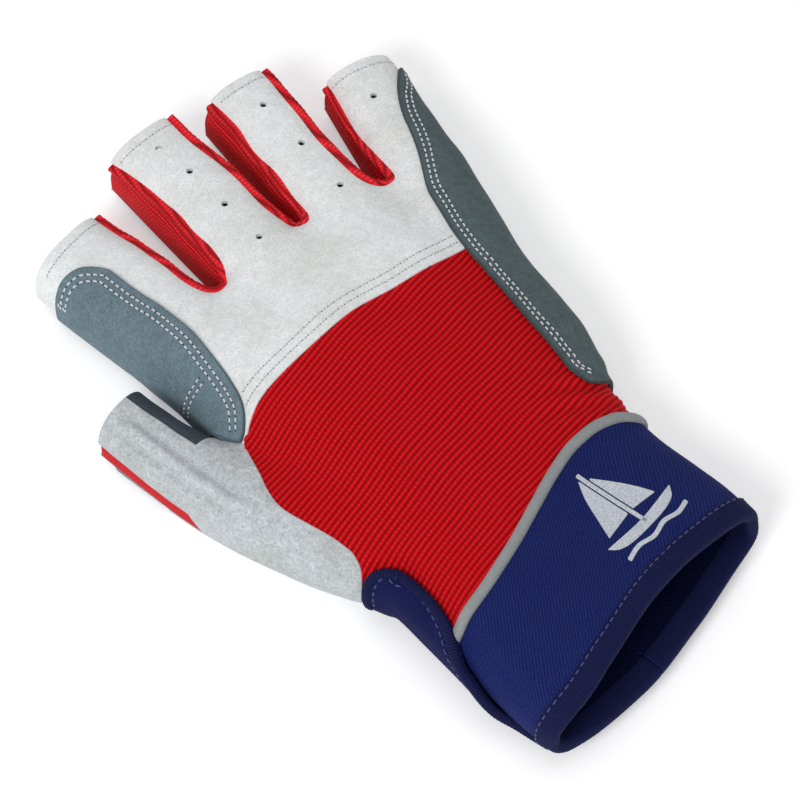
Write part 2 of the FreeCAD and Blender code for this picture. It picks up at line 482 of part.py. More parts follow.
mast = poly(emb([(-0.7, -9.0), (0.7, -9.0), (0.7, 14.0), (-0.7, 14.0)]), 20, 60)
main_sail = prism([emb([(-0.2, 12.5), (-5.5, 6.0), (-9.0, -1.0), (-10.5, -5.0)]), emb([(-10.5, -5.0), (-0.2, -4.0)])], 20, 60)
jib = prism([emb([(0.2, 11.0), (4.5, 5.0), (7.6, -1.0), (9.0, -5.0)]), emb([(9.0, -5.0), (0.2, -4.0)])], 20, 60)
hull = prism([emb([(-14.0, -7.0), (0.0, -8.0), (14.0, -6.4)]), emb([(14.0, -6.4), (10.0, -10.2), (4.0, -12.4), (-6.0, -12.4), (-11.0, -10.6), (-14.0, -7.0)])], 20, 60)
emblem = mast.fuse(main_sail).fuse(jib).fuse(hull)
save("cuff_sail_emblem", keep(em_out, emblem).cut(em_in))
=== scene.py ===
import bpy, math, json
import numpy as np
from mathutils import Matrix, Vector

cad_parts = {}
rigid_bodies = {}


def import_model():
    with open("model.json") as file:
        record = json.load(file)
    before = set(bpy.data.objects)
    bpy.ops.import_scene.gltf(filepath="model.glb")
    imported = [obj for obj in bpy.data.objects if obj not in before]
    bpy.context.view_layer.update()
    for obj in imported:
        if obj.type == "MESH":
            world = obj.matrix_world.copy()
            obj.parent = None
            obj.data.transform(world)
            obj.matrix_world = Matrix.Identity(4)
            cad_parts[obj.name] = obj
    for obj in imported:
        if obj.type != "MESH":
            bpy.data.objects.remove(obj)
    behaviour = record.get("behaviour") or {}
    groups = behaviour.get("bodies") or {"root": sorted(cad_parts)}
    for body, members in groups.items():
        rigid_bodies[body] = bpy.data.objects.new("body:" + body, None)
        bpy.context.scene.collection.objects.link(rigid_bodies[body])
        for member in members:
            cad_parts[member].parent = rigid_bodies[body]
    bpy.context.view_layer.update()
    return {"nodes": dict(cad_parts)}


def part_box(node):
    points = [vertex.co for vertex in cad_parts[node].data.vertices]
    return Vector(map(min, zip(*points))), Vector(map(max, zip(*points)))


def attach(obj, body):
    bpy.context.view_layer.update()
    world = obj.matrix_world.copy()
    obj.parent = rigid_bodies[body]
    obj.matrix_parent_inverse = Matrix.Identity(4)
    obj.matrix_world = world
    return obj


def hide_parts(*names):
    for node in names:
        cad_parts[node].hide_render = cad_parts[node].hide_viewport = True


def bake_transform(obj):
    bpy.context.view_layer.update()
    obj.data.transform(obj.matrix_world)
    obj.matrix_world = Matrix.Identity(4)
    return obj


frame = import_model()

# A short-finger sailing glove, right hand, lying palm down. Lengths in the
# tables are millimetres; meshes are made in metres in the CAD frame.


rng = np.random.default_rng(11)

# ------------------------------------------------------------ base surface
def pchip(xs, ys):
    xs = np.asarray(xs, float); ys = np.asarray(ys, float)
    h = np.diff(xs); dl = np.diff(ys) / h
    d = np.zeros(len(xs))
    for i in range(1, len(xs) - 1):
        if dl[i - 1] * dl[i] > 0:
            w1, w2 = 2 * h[i] + h[i - 1], h[i] + 2 * h[i - 1]
            d[i] = (w1 + w2) / (w1 / dl[i - 1] + w2 / dl[i])
    d[0], d[-1] = dl[0], dl[-1]

    def f(x):
        x = np.clip(np.asarray(x, float), xs[0], xs[-1])
        i = np.clip(np.searchsorted(xs, x, side="right") - 1, 0, len(h) - 1)
        t = (x - xs[i]) / h[i]
        t2, t3 = t * t, t * t * t
        return ((2 * t3 - 3 * t2 + 1) * ys[i] + (t3 - 2 * t2 + t) * h[i] * d[i]
                + (3 * t2 - 2 * t3) * ys[i + 1] + (t3 - t2) * h[i] * d[i + 1])
    return f


# y, thumb side x, little side x, top z, bottom z
HAND = [(-136, -37.0, 43.0, 32.0, 6.0), (-121, -45.0, 43.2, 32.8, 6.0), (-114, -48.2, 43.4, 33.2, 6.0), (-106, -49.8, 43.3, 33.4, 6.0),
        (-95, -50.3, 43.0, 33.2, 6.0), (-80, -50.0, 41.4, 32.0, 6.0), (-62, -50.0, 39.5, 31.0, 6.0),
        (-52, -50.2, 40.0, 31.2, 6.0), (-44, -50.6, 41.2, 31.8, 5.2), (-36, -51.3, 44.0, 32.7, 3.7),
        (-28, -51.9, 46.7, 33.6, 2.4), (-20, -52.3, 48.3, 34.3, 1.75), (-11, -52.6, 49.2, 34.5, 1.6), (0, -53.0, 50.0, 34.5, 1.6), (15, -53.0, 51.3, 33.5, 1.6),
        (30, -52.3, 54.3, 30.8, 1.6), (42, -51.0, 56.6, 27.6, 1.6), (58, -51.0, 59.5, 23.5, 1.6)]
_h = [r[0] for r in HAND]
H_XL, H_XR, H_T, H_B = [pchip(_h, [r[k] for r in HAND]) for k in (1, 2, 3, 4)]
ZC = 0.42

# finger: fold-line centre, tip centre, then rows of (distance past the fold line, sideways shift, half width, top)
FING = {
    "index": ((-39.6, 52.0), (-46.4, 95.0), [(-46, 3.0, 12.0, 27.5), (-26, 0.8, 13.8, 28.2), (-8, 0.7, 14.5, 26.8), (6, 0.8, 14.3, 25.2), (24, 0.8, 14.1, 23.6), (50, 0.9, 13.4, 21.8)]),
    "middle": ((-6.6, 52.5), (-6.2, 108.5), [(-46, 0.0, 12.6, 33.2), (-26, 0.3, 13.9, 31.0), (-8, 0.6, 14.2, 28.0), (8, 0.6, 14.1, 26.0), (30, 0.6, 13.9, 24.2), (62, 0.4, 13.3, 22.2)]),
    "ring": ((22.2, 51.5), (26.0, 104.0), [(-46, -2.0, 12.0, 32.8), (-26, -0.4, 12.9, 30.4), (-8, 0.3, 12.8, 27.7), (8, 0.4, 12.7, 25.6), (30, 0.4, 12.6, 23.8), (60, 0.2, 12.1, 22.0)]),
    "little": ((49.4, 46.5), (58.6, 86.0), [(-46, -3.0, 10.6, 29.0), (-26, -1.0, 11.8, 28.0), (-8, -0.5, 12.0, 26.2), (8, -0.7, 12.0, 24.2), (22, -0.7, 11.8, 22.8), (46, -0.6, 11.3, 21.0)]),
}
# thumb rows: y, x, half width, top, bottom
THUMB = [(-58, -38.0, 7.0, 19.0, 6.0), (-46, -43.6, 10.4, 23.0, 5.4), (-28, -49.4, 12.9, 26.3, 2.6), (-14, -54.4, 13.0, 26.8, 1.8), (0, -59.6, 12.2, 26.2, 1.6),
         (14, -64.4, 10.6, 24.6, 1.6), (28, -67.2, 9.9, 23.0, 1.6), (46, -69.8, 9.4, 21.2, 1.6)]
TH_TIP = ((-65.4, 14.0), (-69.7, 42.0))


def unit2(a, b):
    v = np.array([b[0] - a[0], b[1] - a[1]], float)
    l = math.hypot(v[0], v[1])
    return v / l, l


FR = {}
for _n, (_p, _q, _rows) in FING.items():
    _d, _l = unit2(_p, _q)
    FR[_n] = dict(p=np.array(_p), d=_d, n=np.array([_d[1], -_d[0]]), L=_l, sh=pchip([r[0] for r in _rows], [r[1] for r in _rows]),
                  hw=pchip([r[0] for r in _rows], [r[2] for r in _rows]), zt=pchip([r[0] for r in _rows], [r[3] for r in _rows]))
_d, _l = unit2(*TH_TIP)
FR["thumb"] = dict(p=np.array(TH_TIP[0]), d=_d, n=np.array([_d[1], -_d[0]]), L=_l)
_ty = [r[0] for r in THUMB]
T_X, T_W, T_T, T_B = [pchip(_ty, [r[k] for r in THUMB]) for k in (1, 2, 3, 4)]
_yy = np.linspace(-58, 46, 105)
_tx = T_X(_yy)
T_DX = pchip(_yy, np.gradient(np.convolve(np.pad(_tx, 8, mode="edge"), np.ones(17) / 17, "valid"), _yy))


def sec(dx, z, a, zb, zt, nt=2.35, nb=4.5):
    zc = zb + (zt - zb) * ZC
    up = z > zc
    n = np.where(up, nt, nb)
    b = np.where(up, zt - zc, zc - zb)
    qx = np.maximum(np.abs(dx) / a, 1e-6); qz = np.maximum(np.abs(z - zc) / b, 1e-6)
    r = (qx ** n + qz ** n) ** (1.0 / n)
    rr = np.maximum(r, 1e-3)
    gx = (qx / rr) ** (n - 1) / a; gz = (qz / rr) ** (n - 1) / b
    return (r - 1) / np.maximum(np.sqrt(gx * gx + gz * gz), 1e-3)


def smin(a, b, k):
    h = np.clip(0.5 + 0.5 * (b - a) / k, 0, 1)
    return b * (1 - h) + a * h - k * h * (1 - h)


def smax(a, b, k):
    return -smin(-a, -b, k)


def local(name, x, y):
    f = FR[name]
    ax, ay = x - f["p"][0], y - f["p"][1]
    return ax * f["d"][0] + ay * f["d"][1], ax * f["n"][0] + ay * f["n"][1]


def d_finger(name, x, y, z):
    f = FR[name]
    s, l = local(name, x, y)
    return sec(l - f["sh"](s), z, f["hw"](s), 1.6, f["zt"](s), 2.55), s


def d_hand(x, y, z):
    xl, xr, t, b = H_XL(y), H_XR(y), H_T(y), H_B(y)
    return sec(x - (xl + xr) / 2, z, (xr - xl) / 2, b, t)


WEB_Y = ([-70, -34, -28, -18, 2, 6, 14, 26, 32, 37, 42, 70], [48, 50, 52.4, 52.6, 52.4, 52.9, 53.2, 50, 48.6, 47.4, 45, 40])




def bump(x, a, b):
    t = np.clip((x - a) / (b - a), 0, 1)
    return t * t * (3 - 2 * t)


def wrinkle(x, y, z):
    """soft creases of the cloth, mm outward; none on the flat palm"""
    up = bump(z, 9.0, 17.0)
    back = bump(y, -60, -50) * (1 - bump(y, 6, 18))
    w = 0.34 * np.sin(y * 0.47 + 0.9 * np.sin(x * 0.055 + 0.6) + 0.5 * np.sin(x * 0.13)) * (0.5 + 0.5 * np.sin(x * 0.07 - y * 0.06 + 1.2))
    # bunching towards the little-finger end of the cuff seam
    g = np.exp(-(((x - 27) / 15.0) ** 2 + ((y + 44) / 11.0) ** 2))
    w = w + 0.55 * g * np.sin((y + 0.35 * x) * 0.85 + 0.8 * np.sin(x * 0.2))
    k = bump(y, 14, 24) * (1 - bump(y, 100, 112))
    w2 = 0.22 * np.sin(y * 0.17 + 0.11 * x + 1.4 * np.sin(x * 0.05)) + 0.12 * np.sin(y * 0.43 - 0.3 * x + 1.0)
    t = np.exp(-(((x + 62) / 11.0) ** 2 + ((y - 2) / 26.0) ** 2))
    f = 1 - bump(-y, 56, 64)
    return (up * (back * w + k * w2 + 0.18 * t * np.sin(y * 0.5 + x * 0.3)) + thumb_relief(x, y, z)) * f - tuck(x, y, z)


SEAM1 = np.array([(-68.0, -5.3), (-71.2, 8.4), (-73.2, 23.8), (-74.6, 36.4), (-75.0, 44.0)])
SEAM2 = np.array([(-61.0, -13.0), (-62.7, -7.9), (-65.9, 5.9), (-67.7, 21.4), (-69.4, 37.2), (-70.2, 44.0)])


def thumb_relief(x, y, z):
    """the two sewn seams along the thumb and the ridge between them"""
    x1 = np.interp(y, SEAM1[:, 1], SEAM1[:, 0]); x2 = np.interp(y, SEAM2[:, 1], SEAM2[:, 0])
    on = bump(z, 14, 18) * (1 - bump(y, 33, 38))
    a1, a2 = bump(y, -8, -2), bump(y, -16, -8)
    h = -1.0 * a1 * np.exp(-((x - x1) / 0.95) ** 2) - 0.9 * a2 * np.exp(-((x - x2) / 0.95) ** 2)
    h = h + 1.15 * a1 * np.exp(-((x - (0.62 * x1 + 0.38 * x2)) / 1.5) ** 2) - 0.35 * a2 * np.exp(-((x - (x2 - 1.6)) / 1.0) ** 2)
    return on * h


def tuck(x, y, z):
    """the cuff and heel sit in a little under the closure strap"""
    return 2.3 * bump(-x, 40, 48) * bump(-y, 43, 52)


def base_ext(P):
    """the outside with fingers and thumb run on a little past their ends"""
    x, y, z = P[..., 0], P[..., 1], P[..., 2]
    d = d_hand(x, y, z)
    d = smax(d, y - np.interp(x, *WEB_Y), 4.5)
    for n in ("index", "middle", "ring", "little"):
        t, s = d_finger(n, x, y, z)
        t = smax(t, -(s + 44.0), 4.0)
        t = np.maximum(t, s - FR[n]["L"] - 4.0)
        d = smin(d, t, 4.0)
    c = 1.0 / np.sqrt(1.0 + T_DX(y) ** 2)
    t = sec((x - T_X(y)) * c, z, T_W(y), T_B(y), T_T(y), 2.4)
    t = smax(t, -(y + 56.0), 4.0)
    s, _ = local("thumb", x, y)
    t = np.maximum(t, s - FR["thumb"]["L"] - 3.0)
    k = np.where(y < 14, 6.0, np.maximum(6.0 - (y - 14) * 0.3, 2.0))
    return np.maximum(smin(d, t, k), H_B(y) - z) - wrinkle(x, y, z)


def base_raw(P):
    v = base_ext(P)
    return v - tuck(P[..., 0], P[..., 1], P[..., 2])


def gradient(P, e=0.25, f=base_ext):
    g = np.empty_like(P)
    for i in range(3):
        o = np.zeros(3); o[i] = e
        g[..., i] = (f(P + o) - f(P - o)) / (2 * e)
    return g


def project(P, n=4, f=base_ext):
    P = np.array(P, float)
    for _ in range(n):
        g = gradient(P, 0.2, f)
        v = f(P)
        P = P - g * np.clip(v / np.maximum((g ** 2).sum(-1), 1e-2), -1.5, 1.5)[..., None]
    return P


def normal(P, f=base_ext, e=0.6):
    g = gradient(P, e, f)
    return g / np.maximum(np.linalg.norm(g, axis=-1, keepdims=True), 1e-9)


def surface_net(f, lo, hi, h):
    xs, ys, zs = [np.arange(a, b, h) for a, b in zip(lo, hi)]
    F = np.empty((len(xs), len(ys), len(zs)))
    Y, Z = np.meshgrid(ys, zs, indexing="ij")
    for a in range(0, len(xs), 16):
        X = xs[a:a + 16, None, None] + 0 * Y[None]
        F[a:a + 16] = f(np.stack([X, Y[None] + 0 * X, Z[None] + 0 * X], -1))
    I = F < 0
    c = [I[i:I.shape[0] - 1 + i, j:I.shape[1] - 1 + j, k:I.shape[2] - 1 + k] for i in (0, 1) for j in (0, 1) for k in (0, 1)]
    s = sum(q.astype(np.int8) for q in c)
    act = (s > 0) & (s < 8)
    idx = -np.ones(act.shape, int)
    idx[act] = np.arange(act.sum())
    ii, jj, kk = np.nonzero(act)
    P = np.stack([xs[ii] + h / 2, ys[jj] + h / 2, zs[kk] + h / 2], -1)
    quads = []
    for ax in range(3):
        sl0 = [slice(None)] * 3; sl1 = [slice(None)] * 3
        sl0[ax] = slice(0, -1); sl1[ax] = slice(1, None)
        a, b = I[tuple(sl0)], I[tuple(sl1)]
        m = a != b
        o1, o2 = [q for q in range(3) if q != ax]
        pos = np.stack(np.nonzero(m), -1)
        flip = a[m]
        ok = (pos[:, o1] > 0) & (pos[:, o2] > 0) & (pos[:, o1] < act.shape[o1]) & (pos[:, o2] < act.shape[o2])
        pos, flip = pos[ok], flip[ok]
        q = []
        for d1, d2 in ((-1, -1), (0, -1), (0, 0), (-1, 0)):
            w = pos.copy(); w[:, o1] += d1; w[:, o2] += d2
            q.append(idx[w[:, 0], w[:, 1], w[:, 2]])
        q = np.stack(q, -1)
        if ax == 1:
            flip = ~flip
        q[~flip] = q[~flip][:, ::-1]
        quads.append(q)
    Q = np.concatenate(quads)
    Q = Q[(Q >= 0).all(1)]
    return P, Q


class Surf:
    """triangles with per-vertex columns: position 0:3, normal 3:6, then extras"""

    def __init__(self, A, T):
        self.A, self.T = A, T

    def copy(self):
        return Surf(self.A.copy(), self.T.copy())

    @property
    def v(self):
        return self.A[:, :3]

    @property
    def n(self):
        return self.A[:, 3:6]

    def compact(self):
        u, inv = np.unique(self.T, return_inverse=True)
        return Surf(self.A[u], inv.reshape(self.T.shape))

    def clip(self, field):
        """keep where field >= 0; field is an array on the vertices or a function of the positions"""
        if len(self.T) == 0:
            return self
        s = field(self.v) if callable(field) else field
        s = np.where(np.abs(s) < 0.02, 0.0, s)
        T = self.T
        inn = s[T] >= 0
        c = inn.sum(1)
        keep = [T[c == 3]]
        A = [self.A]
        nxt = len(self.A)
        cross = T[(c == 1) | (c == 2)]
        ci = inn[(c == 1) | (c == 2)]
        if len(cross):
            one = ci.sum(1) == 1
            lone = np.where(one, ci.argmax(1), (~ci).argmax(1))
            r = np.arange(len(cross))
            a = cross[r, lone]; b = cross[r, (lone + 1) % 3]; d = cross[r, (lone + 2) % 3]
            e1 = np.sort(np.stack([a, b], -1), 1); e2 = np.sort(np.stack([a, d], -1), 1)
            E = np.concatenate([e1, e2])
            U, inv = np.unique(E, axis=0, return_inverse=True)
            inv = inv.reshape(-1)
            s0, s1 = s[U[:, 0]], s[U[:, 1]]
            t = (s0 / np.where(np.abs(s0 - s1) < 1e-12, 1, s0 - s1))[:, None]
            N = self.A[U[:, 0]] * (1 - t) + self.A[U[:, 1]] * t
            N[:, 3:6] /= np.maximum(np.linalg.norm(N[:, 3:6], axis=1, keepdims=True), 1e-9)
            A.append(N)
            p = nxt + inv[:len(r)]; q = nxt + inv[len(r):]
            keep.append(np.stack([a, p, q], -1)[one])
            two = ~one
            keep.append(np.stack([p, b, d], -1)[two])
            keep.append(np.stack([p, d, q], -1)[two])
        out = Surf(np.concatenate(A), np.concatenate(keep)).compact()
        v = out.v
        ar = np.linalg.norm(np.cross(v[out.T[:, 1]] - v[out.T[:, 0]], v[out.T[:, 2]] - v[out.T[:, 0]]), axis=1)
        out.T = out.T[ar > 1e-7]
        return out.compact() if len(out.T) else out


def tri(Q):
    return np.concatenate([Q[:, [0, 1, 2]], Q[:, [0, 2, 3]]])


def edges_of(T):
    E = np.concatenate([T[:, [0, 1]], T[:, [1, 2]], T[:, [2, 0]]])
    key = np.sort(E, 1)
    U, inv, cnt = np.unique(key, axis=0, return_inverse=True, return_counts=True)
    return E[cnt[inv.reshape(-1)] == 1]


def shell(S, top, thick, rim=0.35, rings=4, flat=None, relief=None):
    """a piece of material: outer face at `top` above the surface, `thick` deep, with a
    rounded cut edge. flat(v) marks rim points that stay square (a cut inside one cloth)."""
    v, n, T = S.v, S.n, S.T
    N = len(v)
    h = top + (relief if relief is not None else 0.0)
    h = np.broadcast_to(h, (N,)) if np.ndim(h) == 0 else h
    E = edges_of(T)
    b, inv = np.unique(E, return_inverse=True)
    E2 = inv.reshape(E.shape)
    out = np.zeros((len(b), 3))
    d = v[E[:, 1]] - v[E[:, 0]]
    d /= np.maximum(np.linalg.norm(d, axis=1, keepdims=True), 1e-9)
    w = np.cross(d, n[E[:, 0]] + n[E[:, 1]])
    w /= np.maximum(np.linalg.norm(w, axis=1, keepdims=True), 1e-9)
    np.add.at(out, E2[:, 0], w)
    np.add.at(out, E2[:, 1], w)
    nb = n[b]
    out -= nb * (out * nb).sum(1, keepdims=True)
    out /= np.maximum(np.linalg.norm(out, axis=1, keepdims=True), 1e-9)
    r = np.full(len(b), rim)
    if flat is not None:
        r = np.where(flat(v[b]), 0.0, r)
    P = [v + n * h[:, None]]
    W = [n]
    hb = h[b]
    start = N
    ringidx = [b]
    rest = [v]
    ex = [S.A[:, 6:]]
    for k in range(1, rings + 1):
        th = math.pi / 2 * k / rings
        P.append(v[b] + nb * (hb - r * (1 - math.cos(th)))[:, None] + out * (r * math.sin(th))[:, None])
        W.append(nb * math.cos(th) + out * math.sin(th))
        ringidx.append(start + np.arange(len(b))); start += len(b)
        rest.append(v[b]); ex.append(S.A[b, 6:])
    P.append(v[b] + nb * (hb - thick)[:, None] + out * r[:, None])
    W.append(out)
    ringidx.append(start + np.arange(len(b))); start += len(b)
    rest.append(v[b]); ex.append(S.A[b, 6:])
    inner0 = start
    P.append(v + n * (np.minimum(h, top) - thick)[:, None])
    W.append(-n)
    rest.append(v); ex.append(S.A[:, 6:])
    faces = [T, T[:, ::-1] + inner0]
    ringidx.append(inner0 + b)
    for k in range(len(ringidx) - 1):
        a0, a1 = ringidx[k], ringidx[k + 1]
        i, j = E2[:, 0], E2[:, 1]
        faces.append(np.stack([a0[i], a1[i], a1[j]], -1))
        faces.append(np.stack([a0[i], a1[j], a0[j]], -1))
    P = np.concatenate(P); W = np.concatenate(W)
    F = np.concatenate(faces)
    inside = np.zeros(len(P)); inside[inner0:] = 1.0
    rimv = np.zeros(len(P)); rimv[N:inner0] = 1.0
    return dict(v=P, n=W, T=F, rest=np.concatenate(rest), ex=np.concatenate(ex), inside=inside, rim=rimv)


def add_mesh(name, v, T, normals=None, attrs=None, mat=None, smooth=True):
    """v in mm"""
    F = np.asarray(T)
    srt = np.sort(F, 1)
    F = F[(srt[:, 1:] != srt[:, :-1]).all(1)]
    if not np.isfinite(np.asarray(v, float)).all():
        raise RuntimeError("bad vertex in " + name)
    if normals is not None and not np.isfinite(np.asarray(normals, float)).all():
        raise RuntimeError("bad normal in " + name)
    for an, val in (attrs or {}).items():
        if not np.isfinite(np.asarray(val, float)).all():
            raise RuntimeError("bad attribute %s in %s" % (an, name))
    me = bpy.data.meshes.new(name)
    me.vertices.add(len(v))
    me.vertices.foreach_set("co", (np.asarray(v, float) * 0.001).astype(np.float32).ravel())
    k = F.shape[1]
    me.loops.add(F.size)
    me.loops.foreach_set("vertex_index", F.astype(np.int32).ravel())
    me.polygons.add(len(F))
    me.polygons.foreach_set("loop_start", (np.arange(len(F)) * k).astype(np.int32))
    me.update(calc_edges=True)
    me.polygons.foreach_set("use_smooth", np.full(len(F), smooth))
    for an, val in (attrs or {}).items():
        val = np.asarray(val, float)
        if val.ndim == 2:
            a = me.attributes.new(an, "FLOAT_VECTOR", "POINT")
            a.data.foreach_set("vector", val.astype(np.float32).ravel())
        else:
            a = me.attributes.new(an, "FLOAT", "POINT")
            a.data.foreach_set("value", val.astype(np.float32))
    if normals is not None:
        nn = np.asarray(normals, float)
        nn = nn / np.maximum(np.linalg.norm(nn, axis=1, keepdims=True), 1e-9)
        me.normals_split_custom_set_from_vertices(nn.astype(np.float32).tolist())
    o = bpy.data.objects.new(name, me)
    bpy.context.scene.collection.objects.link(o)
    if mat is not None:
        me.materials.append(mat)
    return o


# ------------------------------------------------------------- plane curves
def catmull(P, step=1.0):
    P = np.asarray(P, float)
    Q = np.vstack([2 * P[0] - P[1], P, 2 * P[-1] - P[-2]])
    out = []
    for i in range(len(P) - 1):
        p0, p1, p2, p3 = Q[i], Q[i + 1], Q[i + 2], Q[i + 3]
        n = max(int(np.linalg.norm((p2 - p1)[:2]) / step), 2)
        t = np.linspace(0, 1, n, endpoint=False)[:, None]
        out.append(0.5 * ((2 * p1) + (-p0 + p2) * t + (2 * p0 - 5 * p1 + 4 * p2 - p3) * t * t + (-p0 + 3 * p1 - 3 * p2 + p3) * t ** 3))
    out.append(P[-1:])
    return np.vstack(out)


def resample(P, step):
    P = np.asarray(P, float)
    s = np.concatenate([[0], np.cumsum(np.linalg.norm(np.diff(P, axis=0), axis=1))])
    n = max(int(round(s[-1] / step)), 2)
    u = np.linspace(0, s[-1], n + 1)
    return np.stack([np.interp(u, s, P[:, k]) for k in range(P.shape[1])], -1)


def poly_sd(P, poly):
    """signed distance in plan to a closed outline, positive inside"""
    x, y = P[:, 0], P[:, 1]
    A = np.asarray(poly, float); B = np.roll(A, -1, axis=0)
    d2 = np.full(len(x), 1e18); inside = np.zeros(len(x), bool)
    for a, b in zip(A, B):
        e = b - a
        L = e @ e
        if L < 1e-12:
            continue
        t = np.clip(((x - a[0]) * e[0] + (y - a[1]) * e[1]) / L, 0, 1)
        q = (x - a[0] - t * e[0]) ** 2 + (y - a[1] - t * e[1]) ** 2
        d2 = np.minimum(d2, q)
        c = (a[1] <= y) != (b[1] <= y)
        xi = a[0] + (y - a[1]) * e[0] / (e[1] if abs(e[1]) > 1e-12 else 1e-12)
        inside ^= c & (x < xi)
    return np.where(inside, 1, -1) * np.sqrt(d2)


def curve_sd(P, line3, sign):
    """distance in space to a seam line, with the sign of `sign`"""
    d2 = np.full(len(P), 1e18)
    A, B = line3[:-1], line3[1:]
    for a, b in zip(A, B):
        e = b - a; L = max(e @ e, 1e-12)
        t = np.clip(((P - a) @ e) / L, 0, 1)
        d2 = np.minimum(d2, ((P - a - t[:, None] * e) ** 2).sum(1))
    return np.where(sign >= 0, 1, -1) * np.sqrt(d2)


def lift(xy, f=None):
    """the top of the glove above plan points"""
    f = f or base_ext
    xy = np.asarray(xy, float)[:, :2]
    lo = np.full(len(xy), 13.0); hi = np.full(len(xy), 44.0)
    for _ in range(26):
        m = (lo + hi) / 2
        v = f(np.column_stack([xy, m]))
        hi = np.where(v > 0, m, hi); lo = np.where(v > 0, lo, m)
    return np.column_stack([xy, (lo + hi) / 2])


def on_top(P, step=1.0):
    """smooth 3-D line through plan points, laid on the glove"""
    P = np.asarray(P, float)
    if P.shape[1] == 3:
        return project(resample(catmull(P, step), step), 3)
    return lift(resample(catmull(P, step), step))


def frames(L, f=base_ext):
    t = np.gradient(L, axis=0)
    t /= np.maximum(np.linalg.norm(t, axis=1, keepdims=True), 1e-9)
    n = normal(L, f)
    b = np.cross(n, t)
    b /= np.maximum(np.linalg.norm(b, axis=1, keepdims=True), 1e-9)
    t = np.cross(b, n)
    return t, n, b


def beside(L, d, f=base_ext):
    """the seam line moved d mm to its left (about the outward normal), kept on the glove"""
    t, n, b = frames(L, f)
    Q = project(L + b * d, 3, f)
    return Q


THREADS = []


def stitch_line(L, pitch=2.7, length=1.95, r=0.27, lift_=0.0, tilt=0.0, sink=0.32, f=base_ext, trim=0.0, skip=None, shift=0.5):
    """stitches along a line on the surface; returns (v, T, centres)"""
    s = np.concatenate([[0], np.cumsum(np.linalg.norm(np.diff(L, axis=0), axis=1))])
    if s[-1] < 2 * trim + pitch:
        return None
    n = max(int((s[-1] - 2 * trim) / pitch), 1)
    u = trim + (np.arange(n) + shift) * (s[-1] - 2 * trim) / n
    C = np.stack([np.interp(u, s, L[:, k]) for k in range(3)], -1)
    e = 0.5
    Tn = np.stack([np.interp(u + e, s, L[:, k]) - np.interp(u - e, s, L[:, k]) for k in range(3)], -1)
    Tn /= np.maximum(np.linalg.norm(Tn, axis=1, keepdims=True), 1e-9)
    N = normal(C, f)
    B = np.cross(N, Tn); B /= np.linalg.norm(B, axis=1, keepdims=True); Tn = np.cross(B, N)
    if skip is not None:
        k = ~skip(C)
        C, Tn, N, B = C[k], Tn[k], N[k], B[k]
    m = len(C)
    if m == 0:
        return None
    a = tilt + rng.normal(0, 0.05, m)
    Td = Tn * np.cos(a)[:, None] + B * np.sin(a)[:, None]
    Bd = np.cross(N, Td)
    us = np.array([-1.0, -0.82, -0.45, 0.0, 0.45, 0.82, 1.0])
    rs = np.array([0.35, 0.8, 1.0, 1.0, 1.0, 0.8, 0.35]) * r
    hs = -sink * np.abs(us) ** 3 + 0.10
    ang = np.arange(6) * math.pi / 3
    ln = length * (1 + rng.normal(0, 0.04, m))
    V = np.empty((m, len(us), 6, 3))
    for i, (q, rr, hh) in enumerate(zip(us, rs, hs)):
        c = C + Td * (q * ln / 2)[:, None] + N * (hh + lift_)
        for j, w in enumerate(ang):
            V[:, i, j] = c + Bd * (rr * math.cos(w)) + N * (rr * math.sin(w) * 0.8)
    base = (np.arange(m) * len(us) * 6)[:, None]
    q = []
    for i in range(len(us) - 1):
        for j in range(6):
            a0, a1 = i * 6 + j, i * 6 + (j + 1) % 6
            q.append([a0, a1, a1 + 6, a0 + 6])
    for i0, rev in ((0, True), ((len(us) - 1) * 6, False)):
        r6 = [i0 + j for j in range(6)]
        if rev:
            r6 = r6[::-1]
        q += [[r6[0], r6[1], r6[2], r6[3]], [r6[0], r6[3], r6[4], r6[5]]]
    F = (base[:, :, None] + np.array(q)[None]).reshape(-1, 4)
    return V.reshape(-1, 3), F, C


def join(parts):
    vs, fs, k = [], [], 0
    for v, f in parts:
        vs.append(v); fs.append(f + k); k += len(v)
    return np.concatenate(vs), np.concatenate(fs)

# ----------------------------------------------------------- outlines (mm)
FN = ("index", "middle", "ring", "little")
BODY = {n: n for n in FN}
SPLIT = 3.5
INDEX_R = [(-33.0, 125), (-34.6, 100), (-34.9, 95), (-33.9, 88.8), (-32.0, 78.8), (-30.9, 70.7), (-30.4, 63.3), (-29.3, 57.6), (-27.6, 54.0), (-25.4, 51.8), (-22.7, 51.2)]
MIDDLE_L = [(-20.2, 52.2), (-18.6, 54.5), (-17.1, 57.7), (-16.1, 64.5), (-16, 72.8), (-15.4, 80.4), (-16, 91.6), (-16.6, 100), (-17.5, 108.1), (-18.5, 125)]
MIDDLE_R = [(2.4, 125), (2.4, 107.2), (2.3, 99.1), (2.8, 91.5), (3.9, 84.4), (3.9, 75.2), (3.4, 65), (4.4, 58.8), (6.3, 54.0), (9.0, 51.8)]
RING_L = [(11.4, 52.6), (13.0, 56.1), (13.7, 63.4), (15.1, 72.8), (15.5, 82.7), (17.2, 91.5), (17.4, 97.7), (17.4, 102.9), (17.4, 125)]
RING_R = [(36.0, 125), (34.4, 102.1), (33.2, 92.8), (31.9, 82.3), (30.2, 70.8), (29.8, 61.2), (29.8, 53.9), (31.2, 49.2), (33.8, 46.8), (36.5, 46.2)]
LITTLE_L = [(38.9, 46.6), (40.6, 49.3), (41.9, 58.9), (43.3, 67.3), (44.7, 73.7), (46.6, 80.7), (48.5, 88.6), (55.5, 125)]
WEDGES = [INDEX_R + MIDDLE_L, MIDDLE_R + RING_L, RING_R + LITTLE_L]
WPOLY = [resample(catmull(w, 0.8), 0.8) for w in WEDGES]
